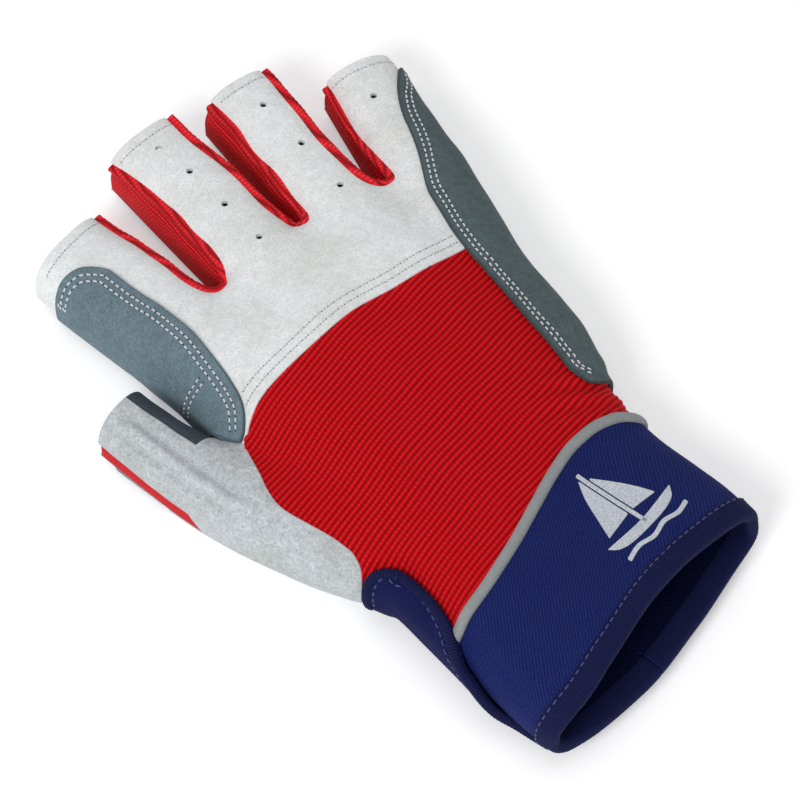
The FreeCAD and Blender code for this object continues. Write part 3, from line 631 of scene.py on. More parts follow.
SEAM = [(62, 10.2), (48, 11.9), (34.3, 13.1), (13.0, 14.7), (-1.3, 16.7), (-13.1, 16.6), (-25.1, 15.9), (-34.4, 15.1), (-41.1, 13.9), (-45.9, 11.8), (-49.1, 9.7), (-51.0, 8.3)]
RED_LEFT = [(-51.0, 8.3), (-52.1, 7.0), (-54.0, 2.0), (-55.9, -4.1), (-57.4, -8.5), (-58.3, -13.4), (-57.8, -17.7), (-56, -23.7), (-53.6, -30.9), (-52.3, -36.3), (-51.8, -39.9), (-53.5, -45.0), (-60, -50.0)]
PIPE = [(66, -63.5), (52, -62.0), (42, -60.2), (36.2, -57.6), (31.7, -55.9), (25, -55.3), (16.6, -56.1), (5.5, -59.5), (-6.4, -64.4), (-17, -68.8), (-24, -71.2), (-31.9, -73.6), (-39.9, -75.4), (-47, -77.0), (-60, -79.0)]
PIPE_X = np.array([p[0] for p in PIPE][::-1]); PIPE_Y = np.array([p[1] for p in PIPE][::-1])
RIM_X = [-60, -38, -20, 0, 20, 40, 60]
RIM_Y = [-120, -119, -114.5, -108.5, -105.5, -104.3, -103.5]
pipe_y, rim_y = pchip(PIPE_X, PIPE_Y), pchip(RIM_X, RIM_Y)
ULNAR = [(78, 90), (64.2, 74.9), (59.2, 68.6), (55.7, 62.3), (53, 55.6), (49.6, 48.5), (45.7, 41.7), (42.5, 35.8), (40.2, 28.6), (37.7, 20.2), (36.3, 13.2), (35.3, 4.2), (34.7, -5.3),
         (33.6, -16.7), (33.2, -26.8), (32.5, -35.2), (32.9, -39.2), (34.7, -41.9), (38.0, -43.2), (44, -43.0), (52, -42.4), (60, -42)]
INDEX_P = [(-72, 81.5), (-62, 82.6), (-57.8, 83.9), (-54.8, 84.6), (-51.4, 83.9), (-48.7, 82.3), (-44.9, 77.7), (-44.2, 74.1), (-43.7, 69.6), (-42.6, 62.8), (-41.5, 56), (-40.9, 48.6), (-40.9, 40.5),
           (-41.7, 32), (-42.7, 24.1), (-43.9, 18.7), (-45.7, 14.8), (-48.7, 11), (-51.5, 9.2), (-56, 8.6)]
PERF = {"middle": [(-6.2, 100.5), (-4.8, 88.0), (-4.6, 72.3), (-5.0, 56.2)], "ring": [(26.7, 92.0), (26.2, 74.1), (24.5, 54.6)], "little": [(53.7, 73.6)]}
REIN = [(-36.0, -16.0), (-33.0, -24.0), (-24.0, -29.0), (-10.0, -30.5), (8.0, -30.5), (24.0, -30.0), (35.0, -26.0), (39.0, -18.0), (40.5, 0.0), (42.5, 16.0), (46.5, 32.0), (52.0, 42.0), (53.0, 60.0), (-47.5, 60.0), (-45.5, 40.0), (-43.5, 20.0), (-41.0, 2.0)]


def closed(pts, far):
    return resample(catmull(pts, 0.8), 0.8).tolist() + list(far)


SEAM_POLY = closed(SEAM, [(-51, 8.3), (-53.0, 12.0), (-53.6, 14.0), (-120, 14), (-120, 140), (120, 140), (120, 10)])
RED_POLY = closed(SEAM, []) + closed(RED_LEFT, [(-100, -60), (-100, -100), (100, -100), (100, 10)])
TH_POLY = [(-53.6, 14.0), (-53.0, 12.0), (-51.0, 8.3)] + closed(RED_LEFT, [(-100, -52), (-120, -52), (-120, 70), (-54.6, 70), (-54.6, 14.0)])
ULNAR_POLY = closed(ULNAR, [(100, -42), (100, 90)])
INDEX_POLY = closed(INDEX_P, [(-57.0, 12.0), (-56.4, 16.0), (-56.4, 40.0), (-64, 60), (-80, 84)])


def wmax(P):
    return np.maximum.reduce([poly_sd(P, w) for w in WPOLY])


def owner(P):
    """which finger a point belongs to, and its distance past that finger's fold line"""
    best = None
    for k, n in enumerate(FN):
        s, l = local(n, P[:, 0], P[:, 1])
        q = np.abs(l) / FR[n]["hw"](np.clip(s, 0, 60))
        if best is None:
            best, who, ss, ll = q, np.zeros(len(P), int), s, l
        else:
            m = q < best
            best = np.where(m, q, best); who = np.where(m, k, who); ss = np.where(m, s, ss); ll = np.where(m, l, ll)
    return who, ss, ll


def seg_len(S):
    return S


# ------------------------------------------------------------- base surface
lo, hi = (-86, -82, -1.2), (76, 117, 40)
NET = 0.9
P0, Q0 = surface_net(base_ext, lo, hi, NET)
P0 = project(P0, 5)
N0 = normal(P0)
B = Surf(np.column_stack([P0, N0]), tri(Q0))
# orient outward
v_, T_ = B.v, B.T
fn = np.cross(v_[T_[:, 1]] - v_[T_[:, 0]], v_[T_[:, 2]] - v_[T_[:, 0]])
sgn = (fn * B.n[T_].mean(1)).sum(1)
T_[sgn < 0] = T_[sgn < 0][:, ::-1]
print("base", len(P0), len(T_), "flipped", int((sgn < 0).sum()))

thumb_side = lambda v: poly_sd(v, TH_POLY)
_who, _s, _l = owner(B.v)
is_thumb = (local("thumb", B.v[:, 0], B.v[:, 1])[0] > -6) & (np.abs(local("thumb", B.v[:, 0], B.v[:, 1])[1]) < 17) & (B.v[:, 0] < -54.0) & (B.v[:, 1] < 46.5)


def thumb_s(v):
    return local("thumb", v[:, 0], v[:, 1])[0]


TH_SPLIT = 1.5


def hand_front(v):
    who, s, l = owner(v)
    return SPLIT - s


HANDS = B.clip(hand_front)
T_REG = HANDS.clip(thumb_side)
# the thumb stall is apart from the thumb base at its own fold line
THUMB_S = T_REG.clip(lambda v: np.minimum(thumb_s(v) - TH_SPLIT, -(v[:, 0] + 54.0)))
TBASE = T_REG.clip(lambda v: TH_SPLIT - thumb_s(v))
HAND_R = HANDS.clip(lambda v: -thumb_side(v))
F_S = {}
for _k, _n2 in enumerate(FN):
    F_S[_n2] = B.clip(lambda v: np.where(owner(v)[0] == _k, owner(v)[1] - SPLIT, -1.0)).clip(lambda v: FR[_n2]["L"] - local(_n2, v[:, 0], v[:, 1])[0])
THUMB_S = THUMB_S.clip(lambda v: FR["thumb"]["L"] - thumb_s(v))
for _n2, _q in list(F_S.items()) + [("thumb", THUMB_S), ("tbase", TBASE), ("hand", HAND_R)]:
    print("region", _n2, len(_q.T), _q.v.min(0).round(1), _q.v.max(0).round(1))

# ---------------------------------------------------------------- materials
def mat(name):
    m = bpy.data.materials.new(name)
    m.use_nodes = True
    nt = m.node_tree
    for n in list(nt.nodes):
        nt.nodes.remove(n)
    out = nt.nodes.new("ShaderNodeOutputMaterial")
    bs = nt.nodes.new("ShaderNodeBsdfPrincipled")
    nt.links.new(bs.outputs[0], out.inputs[0])
    return m, nt, bs


class G:
    """short hand for node graphs"""

    def __init__(self, nt, coord="rest"):
        self.nt = nt
        if coord == "object":
            c = nt.nodes.new("ShaderNodeTexCoord").outputs["Object"]
            self.p = self.vm("SCALE", c, 1000.0)
        else:
            a = nt.nodes.new("ShaderNodeAttribute"); a.attribute_name = coord
            self.p = a.outputs["Vector"]

    def put(self, sock, v):
        if v is None:
            return
        if hasattr(v, "is_linked") or hasattr(v, "links"):
            self.nt.links.new(v, sock)
        elif isinstance(v, (tuple, list)) and sock.type == "RGBA" and len(v) == 3:
            sock.default_value = (*v, 1)
        else:
            sock.default_value = v

    def vm(self, op, a, b=None):
        n = self.nt.nodes.new("ShaderNodeVectorMath"); n.operation = op
        self.put(n.inputs[0], a)
        if op == "SCALE":
            self.put(n.inputs["Scale"], b)
        elif b is not None:
            self.put(n.inputs[1], b)
        return n.outputs[0]

    def m(self, op, a, b=None, c=None, clamp=False):
        n = self.nt.nodes.new("ShaderNodeMath"); n.operation = op; n.use_clamp = clamp
        self.put(n.inputs[0], a); self.put(n.inputs[1], b); self.put(n.inputs[2], c)
        return n.outputs[0]

    def attr(self, name):
        a = self.nt.nodes.new("ShaderNodeAttribute"); a.attribute_name = name
        return a.outputs["Fac"]

    def noise(self, scale, detail=3.0, rough=0.5, vec=None, dist=0.0):
        n = self.nt.nodes.new("ShaderNodeTexNoise")
        self.put(n.inputs["Vector"], vec if vec is not None else self.p)
        n.inputs["Scale"].default_value = scale; n.inputs["Detail"].default_value = detail
        n.inputs["Roughness"].default_value = rough; n.inputs["Distortion"].default_value = dist
        return n.outputs["Fac"]

    def voronoi(self, scale, vec=None, feature="F1", rand=1.0):
        n = self.nt.nodes.new("ShaderNodeTexVoronoi"); n.feature = feature
        self.put(n.inputs["Vector"], vec if vec is not None else self.p)
        n.inputs["Scale"].default_value = scale; n.inputs["Randomness"].default_value = rand
        return n.outputs["Distance"]

    def ramp(self, f, stops):
        n = self.nt.nodes.new("ShaderNodeValToRGB")
        self.put(n.inputs[0], f)
        e = n.color_ramp.elements
        while len(e) > 1:
            e.remove(e[-1])
        e[0].position, e[0].color = stops[0][0], (*stops[0][1], 1)
        for p, c in stops[1:]:
            q = e.new(p); q.color = (*c, 1)
        return n.outputs[0]

    def mix(self, f, a, b, kind="MIX"):
        n = self.nt.nodes.new("ShaderNodeMix"); n.data_type = "RGBA"; n.blend_type = kind
        self.put(n.inputs[0], f)
        self.put(n.inputs[6], a if not isinstance(a, tuple) else (*a, 1)); self.put(n.inputs[7], b if not isinstance(b, tuple) else (*b, 1))
        return n.outputs[2]

    def sep(self, v=None):
        n = self.nt.nodes.new("ShaderNodeSeparateXYZ"); self.put(n.inputs[0], v if v is not None else self.p)
        return n.outputs

    def comb(self, x, y, z):
        n = self.nt.nodes.new("ShaderNodeCombineXYZ")
        for i, q in enumerate((x, y, z)):
            self.put(n.inputs[i], q)
        return n.outputs[0]

    def bump(self, h, strength, dist, normal=None):
        n = self.nt.nodes.new("ShaderNodeBump")
        n.inputs["Strength"].default_value = strength; n.inputs["Distance"].default_value = dist * 0.001
        self.put(n.inputs["Height"], h)
        if normal is not None:
            self.put(n.inputs["Normal"], normal)
        return n.outputs[0]


def lin(c):
    return tuple(((q / 255.0) / 12.92 if q / 255.0 <= 0.04045 else ((q / 255.0 + 0.055) / 1.055) ** 2.4) for q in c)


def mulc(c, k):
    return tuple(min(q * k, 1.0) for q in c)


MATS = {}


def suede(name, color, mott=0.12, nap=1.0, dirt_and_shade=0.1, coord="rest", grain=2.2, rough=0.92, sheen=0.25, edge=0.8):
    m, nt, bs = mat(name)
    g = G(nt, coord)
    c = lin(color)
    fine = g.noise(grain, 4.0, 0.65)
    mid = g.noise(0.35, 3.0, 0.55)
    big = g.noise(0.06, 2.0, 0.5)
    coarse = g.noise(grain * 0.45, 3.0, 0.6)
    both_ = g.m("MULTIPLY_ADD", fine, 0.6, g.m("MULTIPLY", coarse, 0.4))
    col = g.ramp(both_, [(0.34, mulc(c, 1 - mott * 1.5)), (0.46, mulc(c, 1 - mott * 0.4)), (0.54, mulc(c, 1 + mott * 0.3)), (0.66, mulc(c, 1 + mott * 0.9))])
    col = g.mix(g.m("MULTIPLY", g.ramp(mid, [(0.35, (0, 0, 0)), (0.7, (1, 1, 1))]), 0.55), col, mulc(c, 1 - mott), "MIX")
    warm = (c[0] * (1 - dirt_and_shade), c[1] * (1 - dirt_and_shade * 1.05), c[2] * (1 - dirt_and_shade * 1.5))
    # large soft patches (noise big) darkened and tinted: partly soiling, partly painted shade of the padding's dents
    # and bulges
    col = g.mix(g.m("MULTIPLY", g.ramp(big, [(0.42, (0, 0, 0)), (0.62, (1, 1, 1))]), 0.75), col, g.mix(1.0, col, (1 - dirt_and_shade, 1 - dirt_and_shade * 1.05, 1 - dirt_and_shade * 1.5), "MULTIPLY"), "MIX")
    specks = g.voronoi(1.1)
    col = g.mix(g.ramp(specks, [(0.0, (0.35, 0.35, 0.35)), (0.12, (0, 0, 0))]), col, mulc(c, 0.72))
    # the rounded cut edges of a piece are darkened by the factor edge: painted shade along the edges
    rim = g.attr("rim")
    col = g.mix(g.m("MULTIPLY", rim, 0.7), col, mulc(c, edge))
    col = g.mix(g.m("MULTIPLY", g.attr("inside"), 1.0), col, mulc(lin((70, 72, 78)), 1.0))
    g.put(bs.inputs["Base Color"], col)
    bs.inputs["Roughness"].default_value = rough
    g.put(bs.inputs["Roughness"], g.m("ADD", g.m("MULTIPLY", mid, 0.12), rough - 0.08, clamp=True))
    bs.inputs["Specular IOR Level"].default_value = 0.25
    bs.inputs["Sheen Weight"].default_value = sheen
    bs.inputs["Sheen Roughness"].default_value = 0.5
    bs.inputs["Sheen Tint"].default_value = (*mulc(c, 1.3), 1)
    b1 = g.bump(g.noise(3.4, 3.0, 0.7), 0.55 * nap, 0.16)
    b2 = g.bump(mid, 0.35, 0.5, b1)
    g.put(bs.inputs["Normal"], b2)
    MATS[name] = m
    return m


def knit(name, color, dark, light, pitch=2.0, dots=1.3, side=False):
    m, nt, bs = mat(name)
    g = G(nt)
    c, d, l = lin(color), lin(dark), lin(light)
    xyz = g.sep()
    x, y, z = xyz[0], xyz[1], xyz[2]
    wob = g.m("MULTIPLY", g.m("SUBTRACT", g.noise(0.25, 2.0), 0.5), 0.5)
    if side:
        u, v = g.m("ADD", g.m("MULTIPLY", z, 1.0), wob), g.m("ADD", y, g.m("MULTIPLY", x, 0.25))
    else:
        u, v = g.attr("ribphase"), g.m("ADD", g.m("MULTIPLY_ADD", y, 0.085, x), g.m("MULTIPLY", wob, 0.5))
    two = 2 * math.pi
    if side:
        ribs = g.m("COSINE", g.m("MULTIPLY", u, two / pitch))
        row = g.m("ROUND", g.m("DIVIDE", u, pitch))
    else:
        ribs = g.m("COSINE", g.m("MULTIPLY", u, two))
        row = g.m("ROUND", u)
    off = g.m("MULTIPLY", g.m("PINGPONG", row, 1.0), dots / 2 if side else 0.0)
    dt = g.m("COSINE", g.m("MULTIPLY", g.m("ADD", v, off), two / dots))
    r01 = g.m("MULTIPLY_ADD", ribs, 0.5, 0.5)
    d01 = g.m("MULTIPLY_ADD", dt, 0.5, 0.5)
    h = g.m("MULTIPLY", g.m("POWER", r01, 0.5), g.m("MULTIPLY_ADD", g.m("POWER", d01, 0.6), 0.34, 0.66))
    # colour follows the knit's relief h: painted shade (dark) in the grooves between the ribs and painted highlight
    # (light) on the tops of the loops
    col = g.ramp(h, [(0.0, mulc(d, 0.3)), (0.3, d), (0.6, c), (0.86, c), (1.0, l)])
    fine = g.noise(3.0, 3.0, 0.7)
    col = g.mix(0.22, col, g.ramp(fine, [(0.3, d), (0.7, l)]))
    big = g.noise(0.09, 2.0)
    col = g.mix(g.m("MULTIPLY", big, 0.25), col, mulc(c, 0.8))
    col = g.mix(g.attr("inside"), col, mulc(d, 0.9))
    g.put(bs.inputs["Base Color"], col)
    g.put(bs.inputs["Roughness"], g.m("ADD", g.m("MULTIPLY", fine, 0.2), 0.7))
    bs.inputs["Specular IOR Level"].default_value = 0.12
    bs.inputs["Sheen Weight"].default_value = 0.04
    bs.inputs["Sheen Roughness"].default_value = 0.4
    bs.inputs["Sheen Tint"].default_value = (*mulc(l, 1.0), 1)
    b = g.bump(h, 0.7, 0.35)
    b = g.bump(fine, 0.3, 0.15, b)
    g.put(bs.inputs["Normal"], b)
    MATS[name] = m
    return m


def jersey(name, color, light, scale=0.9, diag=True, ribbed=False):
    m, nt, bs = mat(name)
    g = G(nt)
    c, l = lin(color), lin(light)
    xyz = g.sep()
    s_, t_ = g.attr("su"), g.attr("sv")
    two = 2 * math.pi
    a = g.m("ADD", g.m("MULTIPLY", s_, 0.8), g.m("MULTIPLY", t_, 0.6))
    b = g.m("SUBTRACT", g.m("MULTIPLY", s_, 0.6), g.m("MULTIPLY", t_, 0.8))
    n1 = g.m("MULTIPLY", g.m("SUBTRACT", g.noise(0.4, 2.0), 0.5), 0.6)
    w1 = g.m("MULTIPLY_ADD", g.m("COSINE", g.m("MULTIPLY", g.m("ADD", a, n1), two / scale)), 0.5, 0.5)
    w2 = g.m("MULTIPLY_ADD", g.m("COSINE", g.m("MULTIPLY", b, two / (scale * 0.75))), 0.5, 0.5)
    h = g.m("MULTIPLY", g.m("MULTIPLY_ADD", w2, 0.45, 0.55), w1)
    if ribbed:
        h = g.m("MULTIPLY_ADD", g.m("COSINE", g.m("MULTIPLY", s_, two / 0.8)), 0.5, 0.5)
    fine = g.noise(3.5, 3.0, 0.7)
    # colour follows the weave's relief h: painted shade in its hollows and painted highlight (light) on its ridges
    col = g.ramp(h, [(0.0, mulc(c, 0.5)), (0.5, c), (1.0, l)])
    col = g.mix(0.34, col, g.ramp(fine, [(0.36, mulc(c, 0.35)), (0.64, mulc(l, 1.15))]))
    col = g.mix(g.m("MULTIPLY", g.noise(0.05, 2.0), 0.3), col, mulc(c, 0.75))
    col = g.mix(g.attr("inside"), col, mulc(c, 0.35))
    g.put(bs.inputs["Base Color"], col)
    g.put(bs.inputs["Roughness"], g.m("ADD", g.m("MULTIPLY", fine, 0.2), 0.72))
    bs.inputs["Specular IOR Level"].default_value = 0.12
    bs.inputs["Sheen Weight"].default_value = 0.04
    bs.inputs["Sheen Roughness"].default_value = 0.45
    bs.inputs["Sheen Tint"].default_value = (*mulc(l, 1.2), 1)
    bb = g.bump(h, 0.6, 0.2)
    bb = g.bump(fine, 0.6, 0.2, bb)
    g.put(bs.inputs["Normal"], bb)
    MATS[name] = m
    return m


def thread(name, color):
    m, nt, bs = mat(name)
    g = G(nt, "object")
    c = lin(color)
    f = g.noise(2.0, 2.0)
    tw = g.m("MULTIPLY_ADD", g.m("COSINE", g.m("MULTIPLY", g.m("ADD", g.sep()[0], g.m("MULTIPLY", g.sep()[1], 1.3)), 14.0)), 0.5, 0.5)
    col = g.mix(g.m("MULTIPLY", tw, 0.4), c, mulc(c, 0.72))
    col = g.mix(g.m("MULTIPLY", f, 0.3), col, mulc(c, 0.8))
    g.put(bs.inputs["Base Color"], col)
    bs.inputs["Roughness"].default_value = 0.55
    bs.inputs["Sheen Weight"].default_value = 0.2
    g.put(bs.inputs["Normal"], g.bump(tw, 0.5, 0.1))
    MATS[name] = m
    return m


WHITE = suede("white_suede", (238, 241, 242), mott=0.19, dirt_and_shade=0.08, sheen=0.12, grain=2.7)
THUMBW = suede("light_suede", (196, 201, 205), mott=0.28, dirt_and_shade=0.12, sheen=0.12, grain=1.7)
PALM = suede("palm_suede", (176, 180, 184), mott=0.22, dirt_and_shade=0.1, sheen=0.12, grain=1.8)
BLUEGREY = suede("blue_grey_nubuck", (112, 133, 144), mott=0.34, dirt_and_shade=0.1, grain=2.9, sheen=0.12, edge=0.45)
# the ulnar patches' nubuck is set darker than the index patch's blue-grey: painted shade of the little-finger side,
# which faces away from the key light
SLATE_SHADED = suede("slate_nubuck", (88, 103, 107), mott=0.34, dirt_and_shade=0.1, grain=2.9, sheen=0.12, edge=0.45)
GREYR = suede("grey_reinforcement", (104, 110, 118), mott=0.14, dirt_and_shade=0.1)
CHAR = suede("charcoal_suede", (66, 74, 84), mott=0.16, dirt_and_shade=0.1)
PIPEM = suede("grey_piping", (150, 153, 155), mott=0.16, dirt_and_shade=0.04, grain=3.4, rough=0.8)
RED = knit("red_rib_knit", (220, 5, 18), (128, 0, 5), (246, 44, 50), dots=1.26)
REDSIDE = knit("red_side_knit", (228, 14, 30), (138, 2, 8), (250, 88, 92), pitch=1.3, dots=1.3, side=True)
NAVY = jersey("navy_neoprene", (13, 24, 88), (46, 62, 134), scale=1.05)
# the strap's navy is darker than the cuff's: painted shade on the strap
STRAP_SHADED = jersey("navy_strap_cloth_painted_shade", (8, 15, 66), (34, 44, 108), scale=1.05)
BIND = jersey("navy_binding", (14, 18, 58), (34, 40, 92), ribbed=True)
THR = thread("stitching_thread", (226, 228, 232))
# white thread given a grey tone: painted shade on the stitches
THR_SHADED_WHITE = thread("stitching_thread_white_painted_shade", (206, 210, 213))
# dark thread on the charcoal thumb patch; the same material colours the needle-hole marks on the nubuck patches as
# painted shade
THR_D = thread("dark_thread_and_hole_shade", (34, 38, 60))
m_, nt_, bs_ = mat("silver_print"); g_ = G(nt_)
_f = g_.noise(1.6, 3.0, 0.6)
g_.put(bs_.inputs["Base Color"], g_.ramp(_f, [(0.3, lin((176, 180, 190))), (0.7, lin((224, 228, 236)))]))
g_.put(bs_.inputs["Roughness"], g_.m("ADD", g_.m("MULTIPLY", _f, 0.25), 0.3))
bs_.inputs["Metallic"].default_value = 0.55
g_.put(bs_.inputs["Normal"], g_.bump(g_.noise(2.4, 2.0), 0.3, 0.12))
SILVER = m_
m_, nt_, bs_ = mat("hook_and_loop_tape"); g_ = G(nt_, "object")
_f = g_.noise(2.2, 4.0, 0.7)
g_.put(bs_.inputs["Base Color"], g_.ramp(_f, [(0.3, lin((22, 23, 26))), (0.7, lin((58, 60, 66)))]))
g_.put(bs_.inputs["Roughness"], g_.m("ADD", g_.m("MULTIPLY", _f, 0.3), 0.6))
g_.put(bs_.inputs["Normal"], g_.bump(_f, 0.9, 0.4))
TAPE = m_

# -------------------------------------------------------------- make pieces
PIECES = {}


def rest_attrs(d):
    return dict(rest=d["rest"], inside=d["inside"], rim=d["rim"])


def piece(name, S, top, thick, material, nodes, body=None, bl=None, rim=0.35, flat=None, relief=None, relief_grad=None, extra=None):
    d = shell(S, top, thick, rim, flat=flat, relief=relief)
    at = rest_attrs(d)
    if extra is not None:
        at.update(extra(d))
    n = d["n"]
    if relief_grad is not None:
        gr = relief_grad(d["rest"]) * (d["inside"] < 0.5)[:, None] * (1 - d["rim"])[:, None]
        n = n - (gr - n * (gr * n).sum(1, keepdims=True))
    o = add_mesh(name, d["v"], d["T"], n, at, material)
    place(o, body, bl, nodes)
    PIECES[name] = o
    return o


BLEND = {n: (3.5, 19.0) for n in FN}
BLEND["thumb"] = (2.0, 15.0)


def place(o, body, bl, nodes=()):
    if bl:
        a, b = BLEND[bl]
        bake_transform(o)
    else:
        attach(o, body)
    if nodes:
        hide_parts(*nodes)


def rib_height(v):
    return 0.2 * np.cos(2 * math.pi * rib_phase(v))


def rib_phase(v):
    x, y, z = v[:, 0], v[:, 1], v[:, 2]
    return (y - 0.19 * x + 0.35 * np.sin(x * 0.09) + 0.15 * np.sin(x * 0.23 + y * 0.1)) / 1.71


def rib_grad(v, amp=0.2):
    e = 0.02
    p0 = rib_phase(v)
    g = np.zeros_like(v)
    for i in range(2):
        w = v.copy(); w[:, i] += e
        g[:, i] = (rib_phase(w) - p0) / e
    return -amp * 2 * math.pi * np.sin(2 * math.pi * p0)[:, None] * g


def refine(S):
    """split every triangle in four, new points put on the surface"""
    T = S.T
    E = np.sort(np.concatenate([T[:, [0, 1]], T[:, [1, 2]], T[:, [2, 0]]]), 1)
    U, inv = np.unique(E, axis=0, return_inverse=True)
    inv = inv.reshape(-1)
    N = 0.5 * (S.A[U[:, 0]] + S.A[U[:, 1]])
    P = N[:, :3]
    bE = np.sort(edges_of(T), 1)
    key = set(map(tuple, bE.tolist()))
    isb = np.fromiter((tuple(u) in key for u in U.tolist()), bool, len(U))
    Q = project(P, 1)
    N[:, :3] = np.where(isb[:, None], P, Q)
    N[:, 3:6] = normal(N[:, :3])
    k = len(S.A)
    m = len(T)
    a, b, c = k + inv[:m], k + inv[m:2 * m], k + inv[2 * m:]
    T2 = np.concatenate([np.stack([T[:, 0], a, c], -1), np.stack([a, T[:, 1], b], -1), np.stack([c, b, T[:, 2]], -1), np.stack([a, b, c], -1)])
    return Surf(np.concatenate([S.A, N]), T2)


ZS = 12.0
seamf = lambda v: poly_sd(v, SEAM_POLY)
wedge = [lambda v, w=w: poly_sd(v, w) for w in WPOLY]
zf = lambda v: v[:, 2]

# hand: white panel over the knuckles
K = HAND_R.clip(lambda v: v[:, 2] - ZS).clip(seamf).clip(lambda v: -wmax(v))
ALLH = [h for hs in PERF.values() for h in hs]
near_all = lambda v: np.minimum.reduce([np.hypot(v[:, 0] - a, v[:, 1] - b) for a, b in ALLH])
K = K.clip(lambda v: near_all(v) - 1.3)
piece("knuckle_leather_shell", K, 0.5, 1.4, WHITE, ["knuckle_leather_panel"], body="hand")
# hand: red rib knit with its ribs
# (rows of points follow the ribs, eight to a rib, so that each rib is real relief)
_th = np.linspace(-0.45, math.pi + 0.45, 900)
_xl, _xr, _zt, _zb = H_XL(-30.0), H_XR(-30.0), H_T(-30.0), H_B(-30.0)
_zc = _zb + (_zt - _zb) * ZC


def back_ring(y, th):
    xl, xr, zt, zb = H_XL(y), H_XR(y), H_T(y), H_B(y)
    xl = xl - 15.0 * bump(y, -56, -36) * (1 - bump(y, 20, 30))      # on over the base of the thumb
    zc = zb + (zt - zb) * ZC
    c, s_ = np.cos(th), np.sin(th)
    up = s_ > 0
    n_ = np.where(up, 2.35, 4.5)
    b_ = np.where(up, zt - zc, zc - zb)
    r_ = (np.abs(c) ** n_ + np.abs(s_) ** n_) ** (-1.0 / n_)
    return np.stack([(xl + xr) / 2 + (xr - xl) / 2 * c * r_, y + 0 * th, zc + b_ * s_ * r_], -1)


_q = back_ring(np.full_like(_th, -30.0), _th)
_s = np.concatenate([[0], np.cumsum(np.linalg.norm(np.diff(_q, axis=0), axis=1))])
_th = np.interp(np.linspace(0, _s[-1], 126), _s, _th)
_ph = np.arange(-56.0, 23.0, 0.125)
_TH, _PH = np.meshgrid(_th, _ph)
_y = np.full(_TH.shape, -30.0)
for _ in range(14):
    _P = back_ring(_y.ravel(), _TH.ravel())
    _e = _PH.ravel() - rib_phase(_P)
    _y = np.clip(_y + 0.8 * 1.71 * _e.reshape(_y.shape), -95.0, 40.0)
_P = back_ring(_y.ravel(), _TH.ravel())
_idx = np.arange(_P.shape[0]).reshape(_y.shape)
_Q = np.stack([_idx[:-1, :-1], _idx[1:, :-1], _idx[1:, 1:], _idx[:-1, 1:]], -1).reshape(-1, 4)
_ok = ((_y > -84) & (_y < 26)).ravel()
_Q = _Q[_ok[_Q].all(1)]
_use = np.unique(_Q)
_map = np.full(len(_P), -1); _map[_use] = np.arange(len(_use))
_p = project(_P[_use], 5)
_t = tri(_map[_Q])
_n = normal(_p)
_f = np.cross(_p[_t[:, 1]] - _p[_t[:, 0]], _p[_t[:, 2]] - _p[_t[:, 0]])
_m = (_f * _n[_t].mean(1)).sum(1) < 0
_t[_m] = _t[_m][:, ::-1]
R = Surf(np.column_stack([_p, _n]), _t).clip(lambda v: -thumb_side(v))
R = R.clip(lambda v: v[:, 2] - ZS).clip(lambda v: -seamf(v)).clip(lambda v: v[:, 1] - pipe_y(v[:, 0]) + 0.4).clip(lambda v: 0.2 - poly_sd(v, INDEX_POLY))
edge_fade = lambda v: np.clip(np.minimum(-poly_sd(v, SEAM_POLY), v[:, 1] - pipe_y(v[:, 0])) / 1.5, 0, 1)
_ef = edge_fade(R.v)
RED_O = piece("rib_knit_back", R, 0.0, 1.0, RED, ["stretch_back_panel"], body="hand", rim=0.2, relief=rib_height(R.v) * _ef,
      relief_grad=lambda v: rib_grad(v) * edge_fade(v)[:, None], extra=lambda d: dict(ribphase=rib_phase(d["rest"])))
# webs and side walls, with the rolled edge where they meet the back
EDGE3 = []
for w in WPOLY:
    q = w[w[:, 1] < 112]
    EDGE3.append(project(lift(q), 2))
RIGHTS = [len(resample(catmull(w, 0.8), 0.8)) for w in (INDEX_R, MIDDLE_R, RING_R)]


def roll(v):
    best = np.full(len(v), 1e9)
    for e in EDGE3:
        d2 = np.full(len(v), 1e18)
        for a, b in zip(e[:-1:2], e[2::2]):
            if np.abs(a - b).max() > 8:
                continue
            s_ = b - a; L_ = max(s_ @ s_, 1e-9)
            t_ = np.clip(((v - a) @ s_) / L_, 0, 1)
            d2 = np.minimum(d2, ((v - a - t_[:, None] * s_) ** 2).sum(1))
        best = np.minimum(best, np.sqrt(d2))
    h = 2.0 * np.exp(-((best - 1.7) / 1.3) ** 2) - 0.3 * np.exp(-((best - 4.3) / 0.8) ** 2)
    return h + 0.1 * np.cos(2 * math.pi * (v[:, 1] + 0.3 * v[:, 0]) / 1.9)


def field_grad(f, v, e=0.08):
    g = np.empty_like(v)
    for i in range(3):
        o = np.zeros(3); o[i] = e
        g[:, i] = (f(v + o) - f(v - o)) / (2 * e)
    return g


